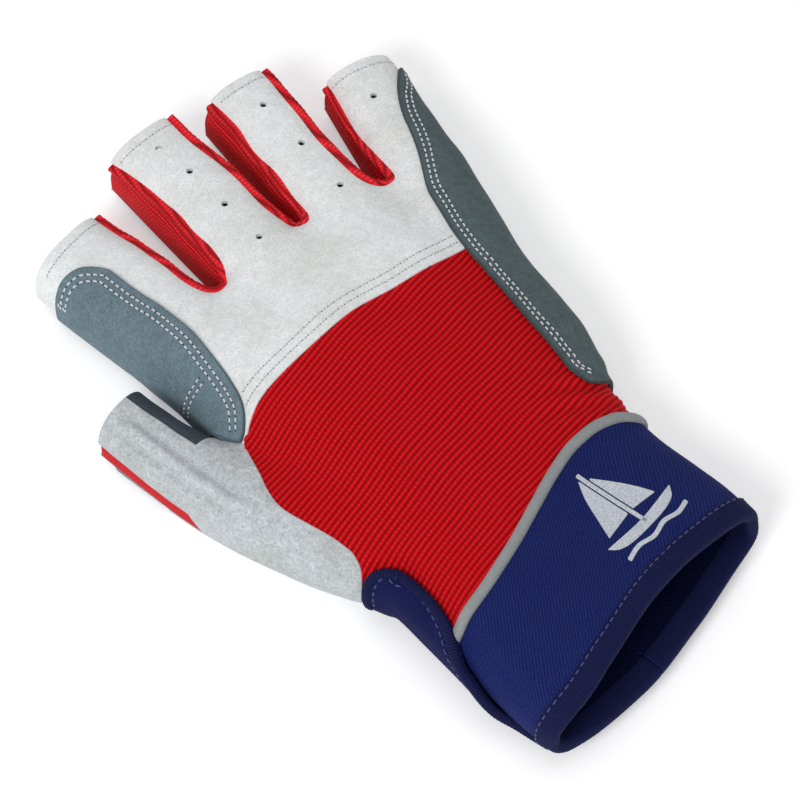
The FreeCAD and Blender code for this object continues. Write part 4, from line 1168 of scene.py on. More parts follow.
wl = [("index", "middle"), ("middle", "ring"), ("ring", "little")]
WEBN = ["web_index_middle", "web_middle_ring", "web_ring_little"]
for w, nd in zip(wedge, WEBN):
    Wk = HAND_R.clip(lambda v: v[:, 2] - 4.6).clip(w)
    piece(nd + "_knit", Wk, 0.0, 1.0, REDSIDE, [nd], body="hand", rim=0.15, relief=roll(Wk.v), relief_grad=lambda v: field_grad(roll, v))
side_of = {"index": [None, 0], "middle": [0, 1], "ring": [1, 2], "little": [2, None]}
for n in FN:
    L = FR[n]["L"]
    F = F_S[n]
    U = F.clip(lambda v: v[:, 2] - 4.6)
    lw, rw = side_of[n]
    bk = U
    for q in (lw, rw):
        if q is not None:
            bk = bk.clip(lambda v: -wedge[q](v))
    if n in ("index", "little"):
        bk = bk.clip(lambda v: v[:, 2] - 4.9)
    holes = PERF.get(n, [])
    if holes:
        near = lambda v: np.minimum.reduce([np.hypot(v[:, 0] - a, v[:, 1] - b) for a, b in holes])
        bk = refine(bk)
        bk = bk.clip(lambda v: np.where(v[:, 2] > 12, near(v) - 1.3, 5.0))
    piece(n + "_back_shell", bk, 0.5, 1.4, WHITE, [n + "_back_leather"], bl=n)
    if lw is not None:
        wall = U.clip(wedge[lw]).clip(lambda v: L - 0.8 - local(n, v[:, 0], v[:, 1])[0])
        piece(n + "_wall_thumb_side_knit", wall, 0.0, 1.0, REDSIDE, [n + "_wall_thumb_side"], bl=n, rim=0.15, relief=roll(wall.v) * 0.8, relief_grad=lambda v: 0.8 * field_grad(roll, v))
    if rw is not None:
        wall = U.clip(wedge[rw]).clip(lambda v: L - 0.8 - local(n, v[:, 0], v[:, 1])[0])
        piece(n + "_wall_little_side_knit", wall, 0.0, 1.0, REDSIDE, [n + "_wall_little_side"], bl=n, rim=0.15, relief=roll(wall.v), relief_grad=lambda v: field_grad(roll, v))
    piece(n + "_palm_shell", F.clip(lambda v: 4.6 - v[:, 2]), 0.1, 1.3, PALM, [n + "_palm_leather"], bl=n, rim=0.2)
# palm of the hand
PL = HAND_R.clip(lambda v: np.maximum(4.6 - v[:, 2], np.minimum(11.9 - v[:, 2], -wmax(v)))).clip(lambda v: v[:, 1] + 59.0)
piece("palm_shell", PL, 0.1, 1.4, PALM, ["palm_leather"], body="hand", rim=0.2)
# thumb base
RLs = lambda v: poly_sd(v, RED_POLY)
TB = TBASE.clip(lambda v: v[:, 1] + 62.0)
piece("thumb_base_back_shell", TB.clip(lambda v: v[:, 2] - ZS), 0.35, 1.4, THUMBW, ["thumb_base_back_leather"], body="hand")
gz = lambda v: np.minimum(v[:, 1] - 3.0 - 0.9 * (v[:, 2] - 8.0), -(v[:, 0] + 62.0 - (v[:, 1] * -0.05)))
GU = TB.clip(lambda v: 11.8 - v[:, 2]).clip(lambda v: v[:, 2] - 5.0).clip(gz)
piece("thumb_base_gusset_knit", GU, 0.0, 1.0, REDSIDE, ["thumb_base_gusset"], body="hand", rim=0.15)
TP = TB.clip(lambda v: np.maximum(4.9 - v[:, 2], np.minimum(11.9 - v[:, 2], -gz(v))))
piece("thumb_base_palm_shell", TP, 0.3, 1.4, THUMBW, ["thumb_base_palm_leather"], body="hand", rim=0.15)
# thumb stall
tl = lambda v: local("thumb", v[:, 0], v[:, 1])[1]
TS = THUMB_S
piece("thumb_back_shell", TS.clip(lambda v: v[:, 2] - ZS).clip(lambda v: 3.0 - tl(v)), 0.35, 1.4, THUMBW, ["thumb_back_leather"], bl="thumb")
piece("thumb_crotch_shell", TS.clip(lambda v: v[:, 2] - 4.9).clip(lambda v: tl(v) - 3.0), 0.3, 1.4, CHAR, ["thumb_crotch_patch"], bl="thumb")
gt = TS.clip(lambda v: v[:, 2] - 4.9).clip(lambda v: 11.9 - v[:, 2]).clip(lambda v: -tl(v)).clip(lambda v: FR["thumb"]["L"] - 0.8 - thumb_s(v))
piece("thumb_gusset_knit", gt, 0.0, 1.0, REDSIDE, ["thumb_gusset"], bl="thumb", rim=0.15)
piece("thumb_palm_shell", TS.clip(lambda v: 4.9 - v[:, 2]), 0.1, 1.3, PALM, ["thumb_palm_leather"], bl="thumb", rim=0.2)

# patches
PT, PH = 1.35, 1.75
uf = lambda v: poly_sd(v, ULNAR_POLY)
inf = lambda v: poly_sd(v, INDEX_POLY)
UL = HAND_R.clip(lambda v: v[:, 2] - 3.2).clip(uf).clip(lambda v: v[:, 1] + 60)
piece("ulnar_side_patch_shell", UL, PH, PT, SLATE_SHADED, ["ulnar_side_patch"], body="hand", rim=0.5, flat=lambda v: (owner(v)[1] > SPLIT - 0.05) | (v[:, 2] < 3.3))
lp = F_S["little"].clip(lambda v: v[:, 2] - 3.2).clip(uf).clip(lambda v: FR["little"]["L"] - 0.5 - local("little", v[:, 0], v[:, 1])[0])
piece("little_side_patch_shell", lp, PH, PT, SLATE_SHADED, ["little_side_patch"], bl="little", rim=0.5, flat=lambda v: (owner(v)[1] < SPLIT + 0.05) | (v[:, 2] < 3.3))
CL = lambda v: v[:, 1] - 30.9
ih = HAND_R.clip(lambda v: v[:, 2] - 3.2).clip(inf)
ih_hi, ih_lo = ih.clip(lambda v: CL(v) - 0.15), ih.clip(lambda v: -CL(v) - 0.15)
piece("index_side_patch_root_shell", ih_hi, PH, PT, BLUEGREY, ["index_side_patch_root"], body="hand", rim=0.5, flat=lambda v: (owner(v)[1] > SPLIT - 0.05) | (v[:, 2] < 3.3))
piece("index_crotch_patch_shell", ih_lo, PH, PT, BLUEGREY, ["index_crotch_patch"], body="hand", rim=0.5)
ip = F_S["index"].clip(lambda v: v[:, 2] - 3.2).clip(inf).clip(lambda v: FR["index"]["L"] - 0.5 - local("index", v[:, 0], v[:, 1])[0])
piece("index_side_patch_shell", ip, PH, PT, BLUEGREY, ["index_side_patch"], bl="index", rim=0.5, flat=lambda v: (owner(v)[1] < SPLIT + 0.05) | (v[:, 2] < 3.3))
# palm overlays
dn = lambda S: Surf(S.A, S.T[S.n[S.T].mean(1)[:, 2] < -0.7]).compact()
rp = resample(catmull(REIN + REIN[:1], 1.0), 1.0)
RF = dn(HAND_R.clip(lambda v: 4.0 - v[:, 2]))
RFc = RF.clip(lambda v: poly_sd(v, rp)).clip(lambda v: 3.0 - owner(v)[1])
piece("palm_reinforcement_layer", RFc, 1.5, 1.25, GREYR, ["palm_reinforcement"], body="hand", rim=0.3)


def plate_poly(n, s0, s1, half, r):
    f = FR[n]
    pts = []
    for cs, cl, a0 in ((s1 - r, half - r, 0.0), (s1 - r, -half + r, -90.0), (s0 + r, -half + r, -180.0), (s0 + r, half - r, -270.0)):
        for k in range(7):
            a = math.radians(a0 + 90.0 - 15.0 * k)
            s, l = cs + r * math.cos(a), cl + r * math.sin(a)
            pts.append(tuple(f["p"] + f["d"] * s + f["n"] * l))
    return pts


for n in FN + ("thumb",):
    S = (THUMB_S if n == "thumb" else F_S[n]).clip(lambda v: 4.0 - v[:, 2])
    hw = 7.4 if n == "thumb" else float(FR[n]["hw"](30.0)) - 3.8
    S = dn(S).clip(lambda v: poly_sd(v, plate_poly(n, 4.2 if n != "thumb" else 2.2, FR[n]["L"] - 3.0, hw, 3.0)))
    piece(n + "_palm_overlay_layer", S, 1.5, 1.25, GREYR, [n + "_palm_overlay"], bl=n, rim=0.3)

# -------------------------------------------------------------------- cuff
def ring_point(y, th, off=0.0):
    """point of the hand's section at y, angle th, and its outward normal"""
    xl, xr, zt, zb = H_XL(y), H_XR(y), H_T(y), H_B(y)
    zc = zb + (zt - zb) * ZC
    c, s = np.cos(th), np.sin(th)
    up = s > 0
    n = np.where(up, 2.35, 4.5)
    b = np.where(up, zt - zc, zc - zb)
    r = (np.abs(c) ** n + np.abs(s) ** n) ** (-1.0 / n)
    a = (xr - xl) / 2
    return np.stack([(xl + xr) / 2 + a * c * r, y + 0 * th, zc + b * s * r], -1)


def base_cuff(P):
    return d_hand(P[..., 0], P[..., 1], P[..., 2]) - cuff_wave(P[..., 0], P[..., 1], P[..., 2]) + tuck(P[..., 0], P[..., 1], P[..., 2])


def cuff_wave(x, y, z):
    up = bump(z, 9.0, 18.0)
    return up * (0.30 * np.sin(x * 0.10 + y * 0.05 + 0.8) + 0.18 * np.sin(x * 0.23 - y * 0.12)) * bump(-y, 56, 66)


def even_theta(y, t0, t1, n):
    th = np.linspace(t0, t1, 720)
    p = ring_point(np.full_like(th, y), th)
    s = np.concatenate([[0], np.cumsum(np.linalg.norm(np.diff(p, axis=0), axis=1))])
    u = np.linspace(0, s[-1], n + 1)
    return np.interp(u, s, th), u


def theta_at_x(x, y=-90.0, lower=True):
    th = np.linspace(-math.pi, 0, 2000) if lower else np.linspace(0, math.pi, 2000)
    p = ring_point(np.full_like(th, y), th)
    return float(th[np.abs(p[:, 0] - x).argmin()])


T0 = theta_at_x(-6.5)
T1 = theta_at_x(-7.5) + 2 * math.pi
CU = 300
TH_C, CS = even_theta(-90.0, T0, T1, CU)
CV = 56


def y_on(curve, th, iters=6):
    y = np.full_like(th, -85.0)
    for _ in range(iters):
        p = ring_point(y, th)
        y = curve(p[:, 0], p[:, 2])
    return y


rim_low = pchip([-60, -45, -30, -13, 12, 38, 60], [-117.8, -119.4, -120.4, -119.6, -114.2, -106.8, -103])


def rim_at(x, z):
    w = 1 - bump(z, 8.0, 24.0)
    return rim_y(x) * (1 - w) + rim_low(x) * w


YR, YP = y_on(lambda x, z: rim_at(x, z) + 2.2, TH_C, 10), y_on(lambda x, z: pipe_y(x), TH_C, 10)


def strip(v0, v1, nv, ext0=0.0, ext1=0.0):
    """base points of the cuff between fractions v0 and v1 from rim (0) to piping (1)"""
    f = np.linspace(v0, v1, nv + 1)
    Y = YR[:, None] + ext0 + (YP + ext1 - YR - ext0)[:, None] * f[None]
    TH = np.repeat(TH_C[:, None], nv + 1, 1)
    P = ring_point(Y.ravel(), TH.ravel())
    P = project(P, 2, base_cuff)
    return P.reshape(Y.shape + (3,)), normal(P, base_cuff).reshape(Y.shape + (3,)), f


def grid_shell(name, P, N, top, thick, material, body, nodes, rim=0.6, rings=4, su=None, sv=None):
    """closed padded sheet over a grid of base points"""
    a, b = P.shape[:2]
    idx = np.arange(a * b).reshape(a, b)
    Q = np.stack([idx[:-1, :-1], idx[1:, :-1], idx[1:, 1:], idx[:-1, 1:]], -1).reshape(-1, 4)
    Tt = tri(Q)
    v, n = P.reshape(-1, 3), N.reshape(-1, 3)
    f = np.cross(v[Tt[:, 1]] - v[Tt[:, 0]], v[Tt[:, 2]] - v[Tt[:, 0]])
    if (f * n[Tt[:, 0]]).sum() < 0:
        Tt = Tt[:, ::-1]
    ex = np.column_stack([su.ravel(), sv.ravel()])
    S = Surf(np.column_stack([v, n, ex]), Tt)
    d = shell(S, top, thick, rim, rings)
    at = rest_attrs(d); at["su"] = d["ex"][:, 0]; at["sv"] = d["ex"][:, 1]
    o = add_mesh(name, d["v"], d["T"], d["n"], at, material)
    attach(o, body)
    if nodes:
        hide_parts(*nodes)
    PIECES[name] = o
    return o


# the neoprene shell, open along the palm slit
P, N, f = strip(0.0, 1.0, CV, ext0=1.2, ext1=-0.6)
SU = np.repeat(CS[:, None], CV + 1, 1); SV = np.repeat((f * 45.0)[None], len(CS), 0)
CUFF_O = grid_shell("cuff_neoprene_shell", P, N, 0.5, 2.9, NAVY, "hand", ["cuff_back_band", "cuff_palm_band_little_side", "cuff_palm_band_thumb_side"], rim=0.5, su=SU, sv=SV)

# rim binding: a band folded over the edge
W_OUT, W_IN = 5.8, 5.4
prof = []      # (distance back from the rim, height over the base, normal mix)
for q in np.linspace(0, 1, 9):
    prof.append((W_OUT * (1 - q), 1.25 if q > 0.08 else 0.55 + 0.7 * q / 0.08, 0))
R_, cz = 2.05, -0.95
for q in np.linspace(0, math.pi, 11)[1:-1]:
    prof.append((-R_ * math.sin(q) * 0.75, cz + 2.2 * math.cos(q), 1))
for q in np.linspace(0, 1, 9):
    prof.append((W_IN * q, -3.15, 2))
prof = np.array(prof)
Vb, Sb = [], []
for dback, hh, _ in prof:
    Y = YR + max(dback, -0.4)
    Pq = ring_point(Y, TH_C); Pq = project(Pq, 2, base_cuff); Nq = normal(Pq, base_cuff)
    Pq = Pq + Nq * hh
    Pq[:, 1] += min(dback + 0.4, 0.0)
    tw = 0.06 * np.cos(2 * math.pi * CS / 1.15)
    Vb.append(Pq + Nq * tw[:, None] * (1 if hh > -1 else -1))
    Sb.append(dback)
Vb = np.stack(Vb, 1)
a, b = Vb.shape[:2]
idx = np.arange(a * b).reshape(a, b)
Q = np.stack([idx[:-1, :-1], idx[1:, :-1], idx[1:, 1:], idx[:-1, 1:]], -1).reshape(-1, 4)
cap = []
# close the band's own thickness at both long edges and at the two ends of the slit
o1 = Vb.copy()
inner = np.stack([Vb[:, k] + 0 for k in range(b)], 1)
v = Vb.reshape(-1, 3)
nrm = np.zeros_like(v)
fq = np.cross(v[Q[:, 1]] - v[Q[:, 0]], v[Q[:, 3]] - v[Q[:, 0]])
for k in range(4):
    np.add.at(nrm, Q[:, k], fq)
nrm /= np.maximum(np.linalg.norm(nrm, axis=1, keepdims=True), 1e-9)
top_n = nrm.reshape(a, b, 3)[:, 2].mean(0)
if (nrm.reshape(a, b, 3)[150, 2] * normal(Vb[150:151, 2], base_cuff)[0]).sum() < 0:
    Q = Q[:, ::-1]; nrm = -nrm
su = np.repeat(CS[:, None], b, 1); sv = np.repeat(np.array(Sb)[None], a, 0)
S = Surf(np.column_stack([v, nrm, su.ravel(), sv.ravel()]), tri(Q))
d = shell(S, 0.0, 0.85, 0.3, 3)
at = rest_attrs(d); at["su"] = d["ex"][:, 0]; at["sv"] = d["ex"][:, 1]; at["inside"] = d["inside"]
o = add_mesh("cuff_rim_binding_band", d["v"], d["T"], d["n"], at, BIND)
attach(o, "hand"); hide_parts("cuff_rim_binding")

# piping: a soft cord covered in grey suede, laid over the cuff seam on the back
xs = np.linspace(44.0, -50.3, 400)
line = np.column_stack([xs, pipe_y(xs)])


def back_line(x, ycurve, zmin=12.5):
    """3-D points of the glove's outside above plan points, running down the two sides"""
    th = np.linspace(-0.25, math.pi + 0.25, 500)
    y = np.full_like(th, -70.0)
    for _ in range(8):
        y = ycurve(ring_point(y, th)[:, 0])
    return ring_point(y, th)


PL3 = back_line(None, pipe_y)
PL3 = PL3[(PL3[:, 2] > 13.2)]
PL3 = project(resample(PL3, 0.9), 3)
t, n, b = frames(PL3)
NP_ = 14
ang = np.linspace(0, 2 * math.pi, NP_, endpoint=False)
rw, rh = 1.75, 1.35
end = np.minimum(np.arange(len(PL3)), np.arange(len(PL3))[::-1]) * 0.9
tap = np.clip(0.45 + end / 3.0 * 0.55, 0, 1)
V = np.empty((len(PL3), NP_, 3)); NN = np.empty_like(V)
for j, w in enumerate(ang):
    ca, sa = math.cos(w), math.sin(w)
    V[:, j] = PL3 + b * (rw * ca * tap)[:, None] + n * (0.75 + rh * sa * tap)[:, None]
    q = b * ca / rw + n * sa / rh
    NN[:, j] = q / np.linalg.norm(q, axis=1, keepdims=True)
a = len(PL3)
idx = np.arange(a * NP_).reshape(a, NP_)
nx = np.roll(idx, -1, 1)
Q = np.stack([idx[:-1], idx[1:], nx[1:], nx[:-1]], -1).reshape(-1, 4)
v = V.reshape(-1, 3); nn = NN.reshape(-1, 3)
if (np.cross(v[Q[:, 1]] - v[Q[:, 0]], v[Q[:, 3]] - v[Q[:, 0]]) * nn[Q[:, 0]]).sum() < 0:
    Q = Q[:, ::-1]
c0, c1 = len(v), len(v) + 1
v = np.vstack([v, V[0].mean(0) - t[0] * 0.4, V[-1].mean(0) + t[-1] * 0.4]); nn = np.vstack([nn, -t[0], t[-1]])
T3 = tri(Q).tolist()
fl = np.cross(v[idx[0, 1]] - v[c0], v[idx[0, 0]] - v[c0]) @ (-t[0]) > 0
for j in range(NP_):
    k = (j + 1) % NP_
    T3.append([c0, idx[0, k], idx[0, j]] if fl else [c0, idx[0, j], idx[0, k]])
    T3.append([c1, idx[-1, j], idx[-1, k]] if fl else [c1, idx[-1, k], idx[-1, j]])
z0 = np.zeros(len(v))
o = add_mesh("cuff_piping_cord", v, np.array(T3), nn, dict(rest=v, inside=z0, rim=z0), PIPEM)
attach(o, "hand"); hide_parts("cuff_piping")
PIECES["cuff_piping_cord"] = o

# ------------------------------------------------------------------- strap
SE = np.array([(-51.8, -45.1, 22), (-49.0, -47.2, 23.2), (-46.8, -51, 24.2), (-45.2, -58.8, 24.3), (-44.7, -65, 24.0), (-44.8, -70.1, 22.9), (-44.9, -76.5, 20.7), (-45.6, -80.7, 19), (-46.7, -84.6, 17.2),
               (-47.2, -89, 15.2), (-46.9, -94.6, 13.2), (-45.9, -102.5, 10.9), (-44.8, -107.6, 9.4), (-43.3, -112.5, 8.5), (-42.2, -118.0, 8.2)])
se_y = SE[::-1, 1]
_ths = []
for x, y, z in SE[::-1]:
    xl, xr, zt, zb = H_XL(y), H_XR(y), H_T(y), H_B(y)
    zc = zb + (zt - zb) * ZC
    th = np.linspace(0.3 * math.pi, 1.35 * math.pi, 900)
    p = ring_point(np.full_like(th, y), th)
    _ths.append(float(th[(np.hypot(p[:, 0] - x, p[:, 2] - z)).argmin()]))
th_edge = pchip(se_y, _ths)
front_y = pchip([-56, -50, -42, -30, -12, 4, 19.4], [-44.4, -46.2, -52.0, -60.0, -65.5, -67.0, -67.5])
rear_y = pchip([-56, -46, -30, -12, 4, 19.4], [-118.0, -116.5, -112.5, -106.0, -101.5, -99.0])
TH_H = 2 * math.pi + theta_at_x(19.4)
NU, NV = 120, 84
uu = np.linspace(0, 1, NU + 1); vv = np.linspace(0, 1, NV + 1)


def strap_grid(inset=0.0):
    th0 = TH_H
    Y = np.empty((NU + 1, NV + 1)); TH = np.empty_like(Y)
    for j, q in enumerate(vv):
        y = np.full(NU + 1, -83.0)
        for _ in range(8):
            te = th_edge(y)
            th = TH_H + (te - TH_H) * uu
            x = ring_point(y, th)[:, 0]
            fr, re = front_y(np.maximum(x, -56)), rear_y(np.maximum(x, -56))
            # on the rising thumb side (x below -56) the end lines keep their places at x = -56
            y2 = re + inset + (fr - re - 2 * inset) * q
            # round the two free corners
            e = np.clip((uu - 0.935) / 0.065, 0, 1)
            cr = 1 - np.sqrt(np.clip(1 - e * e, 0, 1))
            y2 = y2 + (4.0 * cr) * (1 - 2 * q)
            y = 0.5 * y + 0.5 * y2
        Y[:, j] = y; TH[:, j] = TH_H + (th_edge(y) - TH_H) * uu
    P = ring_point(Y.ravel(), TH.ravel())
    return P.reshape(NU + 1, NV + 1, 3), Y, TH


P, Y, TH = strap_grid()
P = project(P.reshape(-1, 3), 3, base_raw)
Pn = normal(P, base_raw, 1.2)
side = bump(-P[:, 0], 36, 48)
S_MID = (3.45 - 3.25 * side)          # height of the strap's middle layer over the glove
Pm = (P + Pn * S_MID[:, None]).reshape(NU + 1, NV + 1, 3)
Pn = Pn.reshape(Pm.shape)
su = np.repeat((uu * 100)[:, None], NV + 1, 1); sv = np.repeat((vv * 50)[None], NU + 1, 0)
STRAP_O = grid_shell("closure_strap_tab", Pm, Pn, 1.2, 2.4, STRAP_SHADED, "strap", ["closure_strap"], rim=0.9, su=su, sv=sv)


def tube(name, C, N, rw, rh, lift_, material, body, nodes, segs=14, closed_ends=True, ripple=0.0, wl=1.1, taper=2.0):
    """a soft rolled edge swept along C; N is the outward normal, rw and rh its half width and half height"""
    t = np.gradient(C, axis=0); t /= np.maximum(np.linalg.norm(t, axis=1, keepdims=True), 1e-9)
    n = N - t * (N * t).sum(1, keepdims=True); n /= np.linalg.norm(n, axis=1, keepdims=True)
    b = np.cross(n, t)
    s = np.concatenate([[0], np.cumsum(np.linalg.norm(np.diff(C, axis=0), axis=1))])
    end = np.minimum(s, s[-1] - s)
    tap = np.clip(0.5 + end / taper * 0.5, 0, 1)
    ang = np.linspace(0, 2 * math.pi, segs, endpoint=False)
    V = np.empty((len(C), segs, 3)); NN = np.empty_like(V)
    rp = ripple * np.cos(2 * math.pi * s / wl)
    for j, w in enumerate(ang):
        ca, sa = math.cos(w), math.sin(w)
        ca2 = math.copysign(abs(ca) ** 0.75, ca); sa2 = math.copysign(abs(sa) ** 0.75, sa)
        V[:, j] = C + b * ((rw + rp) * ca2 * tap)[:, None] + n * (lift_ + (rh + rp) * sa2 * tap)[:, None]
        q = b * ca2 / rw + n * sa2 / rh
        NN[:, j] = q / np.linalg.norm(q, axis=1, keepdims=True)
    a = len(C)
    idx = np.arange(a * segs).reshape(a, segs)
    nx = np.roll(idx, -1, 1)
    Q = np.stack([idx[:-1], idx[1:], nx[1:], nx[:-1]], -1).reshape(-1, 4)
    v = V.reshape(-1, 3); nn = NN.reshape(-1, 3)
    if (np.cross(v[Q[:, 1]] - v[Q[:, 0]], v[Q[:, 3]] - v[Q[:, 0]]) * nn[Q[:, 0]]).sum() < 0:
        Q = Q[:, ::-1]
    c0, c1 = len(v), len(v) + 1
    v = np.vstack([v, V[0].mean(0) - t[0] * 0.3, V[-1].mean(0) + t[-1] * 0.3]); nn = np.vstack([nn, -t[0], t[-1]])
    T3 = tri(Q).tolist()
    fl = np.cross(v[idx[0, 1]] - v[c0], v[idx[0, 0]] - v[c0]) @ (-t[0]) > 0
    fe = np.cross(v[idx[-1, 0]] - v[c1], v[idx[-1, 1]] - v[c1]) @ t[-1] > 0
    for j in range(segs):
        k = (j + 1) % segs
        T3.append([c0, idx[0, k], idx[0, j]] if fl else [c0, idx[0, j], idx[0, k]])
        T3.append([c1, idx[-1, j], idx[-1, k]] if fe else [c1, idx[-1, k], idx[-1, j]])
    z0 = np.zeros(len(v))
    su = np.concatenate([np.repeat(s, segs), [0, s[-1]]]); sv = np.concatenate([np.tile(ang, len(C)) * rw, [0, 0]])
    o = add_mesh(name, v, np.array(T3), nn, dict(rest=v, inside=z0, rim=z0, su=su, sv=sv), material)
    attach(o, body)
    if nodes:
        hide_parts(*nodes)
    PIECES[name] = o
    return o


# rolled binding round the strap's front, free and rear edges
rimP = np.concatenate([Pm[2:, -1], Pm[-1, -2::-1], Pm[-2:1:-1, 0]])
rimN = np.concatenate([Pn[2:, -1], Pn[-1, -2::-1], Pn[-2:1:-1, 0]])
inw = np.concatenate([Pm[2:, -3], Pm[-3, -2::-1], Pm[-2:1:-1, 2]]) - rimP
both = resample(np.column_stack([rimP, rimN, inw]), 0.55)
w = np.ones(9) / 9
sm = np.stack([np.convolve(np.pad(both[:, k], 4, mode="edge"), w, "valid") for k in range(9)], -1)
C, Nn, Iw = sm[:, :3], sm[:, 3:6], sm[:, 6:9]
Nn = Nn / np.linalg.norm(Nn, axis=1, keepdims=True)
Iw = Iw / np.maximum(np.linalg.norm(Iw, axis=1, keepdims=True), 1e-6)
tube("strap_edge_roll", C + Iw * 0.5, Nn, 1.5, 1.5, 0.25, BIND, "strap", ["strap_edge_binding"], ripple=0.05, wl=1.1)
STRAP_LINE = (C + Iw * 2.9, Nn)
print("pieces", len(PIECES))

# ---------------------------------------------------------------- stitching
def which(C):
    """body of each stitch"""
    who, s, l = owner(C)
    out = np.array(["hand"] * len(C), dtype=object)
    for k, n in enumerate(FN):
        out[(who == k) & (s > SPLIT + 0.2)] = n
    th = (C[:, 0] < -54.3) & (thumb_s(C) > TH_SPLIT + 0.2) & (C[:, 1] < 47)
    out[th] = "thumb"
    return out


BAG = {}


def holed(L, lift_, thr, pitch=2.7, length=1.95, hole="hole", r=0.24, **kw):
    """a row of stitches with marks between them for the needle holes, coloured as painted shade of the holes"""
    rows(L, lift_, thr, pitch=pitch, length=length, r=r, **kw)
    rows(L, lift_ - 0.14, hole, pitch=pitch, length=0.6, r=0.27, sink=0.1, shift=1.0, **kw)


def rows(L, lift_, thr, keep=None, f=base_ext, body=None, **kw):
    """add a row of stitches, shared out between the bodies"""
    st = stitch_line(L, lift_=lift_, f=f, **kw)
    if st is None:
        return
    V, F, C = st
    m = len(C)
    nv, nf = len(V) // m, len(F) // m
    V = V.reshape(m, nv, 3); F0 = F[:nf]
    w = np.array([body] * m, dtype=object) if body else which(C)
    ok = np.ones(m, bool) if keep is None else keep(C)
    for b in set(w[ok].tolist()):
        k = ok & (w == b)
        vs = V[k].reshape(-1, 3)
        fs = (np.arange(k.sum())[:, None, None] * nv + F0[None]).reshape(-1, 4)
        BAG.setdefault((b, thr), []).append((vs, fs))


def plan_line(pts, step=0.8):
    return project(lift(resample(catmull(pts, 0.8), step)), 2)


def side_line(L3, step=0.8):
    return project(resample(catmull(L3, 0.8), step), 4)


W_T, P_T = 0.5, 1.75
# double row above the seam between white suede and red knit
sl = plan_line([p for p in SEAM if p[0] > -50])
inU = lambda C: (poly_sd(C, ULNAR_POLY) < -0.8) & (poly_sd(C, INDEX_POLY) < -0.8)
for dd in (-2.6, -5.4):
    holed(beside(sl, dd), W_T, "grey", pitch=2.3, length=1.55, keep=inU)
# ulnar patch, two rows inside its edge
ul = side_line([(59.2, 68.6, 22), (55.7, 62.3, 23.1), (53, 55.6, 24), (49.6, 48.5, 24.9), (45.7, 41.7, 25.9), (42.5, 35.8, 26.7), (40.2, 28.6, 28), (37.7, 20.2, 29.2), (36.3, 13.2, 30), (35.3, 4.2, 30.5),
                (34.7, -5.3, 30.3), (33.6, -16.7, 30.4), (33.2, -26.8, 29.5), (32.5, -35.2, 28.4), (32.9, -39.2, 27.5), (34.7, -41.9, 26)])
ul2 = side_line([(66.5, 84.0, 17), (64.2, 74.9, 19.5), (59.2, 68.6, 22), (55.7, 62.3, 23.1), (53, 55.6, 24)])
for dd in (1.5, 3.1):
    holed(beside(ul, dd), P_T, "white", pitch=2.0, length=1.5, r=0.29, hole="dark", keep=lambda C: poly_sd(C, ULNAR_POLY) > 0.8)
    holed(beside(ul2, dd), P_T, "white", pitch=2.0, length=1.5, r=0.29, hole="dark", keep=lambda C: (poly_sd(C, ULNAR_POLY) > 0.8) & (local("little", C[:, 0], C[:, 1])[0] < FR["little"]["L"] - 1.5) & (C[:, 1] > 62))
# index patch
ix = plan_line([(-61.0, 82.9), (-57.8, 83.9), (-54.8, 84.6), (-51.4, 83.9), (-48.7, 82.3), (-44.9, 77.7), (-44.2, 74.1), (-43.7, 69.6), (-42.6, 62.8), (-41.5, 56), (-40.9, 48.6), (-40.9, 40.5), (-41.7, 32), (-42.7, 24.1), (-43.9, 18.7), (-45.7, 14.8), (-48.7, 11.0)])
for dd in (-2.0, -3.9):
    holed(beside(ix, dd), P_T, "white", pitch=2.0, length=1.5, r=0.29, hole="dark", keep=lambda C: (poly_sd(C, INDEX_POLY) > 1.2) & (C[:, 2] > 11))
cr = side_line([(-43.4, 30.9, 26.9), (-47.5, 31.0, 24.5), (-51.0, 31.2, 20.0), (-52.3, 31.3, 15.7), (-52.6, 31.3, 11.0)])
for dd in (-0.95, 0.95):
    holed(beside(cr, dd), P_T, "white", pitch=2.0, length=1.5, r=0.27, hole="dark", body="hand", keep=lambda C: (poly_sd(C, np.array(INDEX_POLY)) > 0) & (C[:, 0] < -46.6))
# hems at the open finger tips
for k, n in enumerate(FN):
    L = FR[n]["L"]
    for s_ in (3.0,):
        l = np.arange(-14.5, 14.6, 0.5)
        xy = FR[n]["p"] + FR[n]["d"] * (L - s_) + FR[n]["n"] * l[:, None]
        f_ = FR[n]
        hw_, sh_ = float(f_["hw"](L)), float(f_["sh"](L))
        ok = np.abs(l - sh_) < hw_ - 1.2
        hem = project(lift(xy[ok]), 2)
        lf = lambda C: np.where(True, W_T, W_T)
        holed(hem, W_T, "grey", keep=lambda C: (wmax(C) < -0.6) & (poly_sd(C, ULNAR_POLY) < -0.5) & (poly_sd(C, INDEX_POLY) < -0.5), body=n, pitch=2.4, length=1.7)
        rows(hem, P_T, "white", keep=lambda C: (poly_sd(C, ULNAR_POLY) > 1.5) | (poly_sd(C, INDEX_POLY) > 1.5), body=n, pitch=2.4, length=1.7)
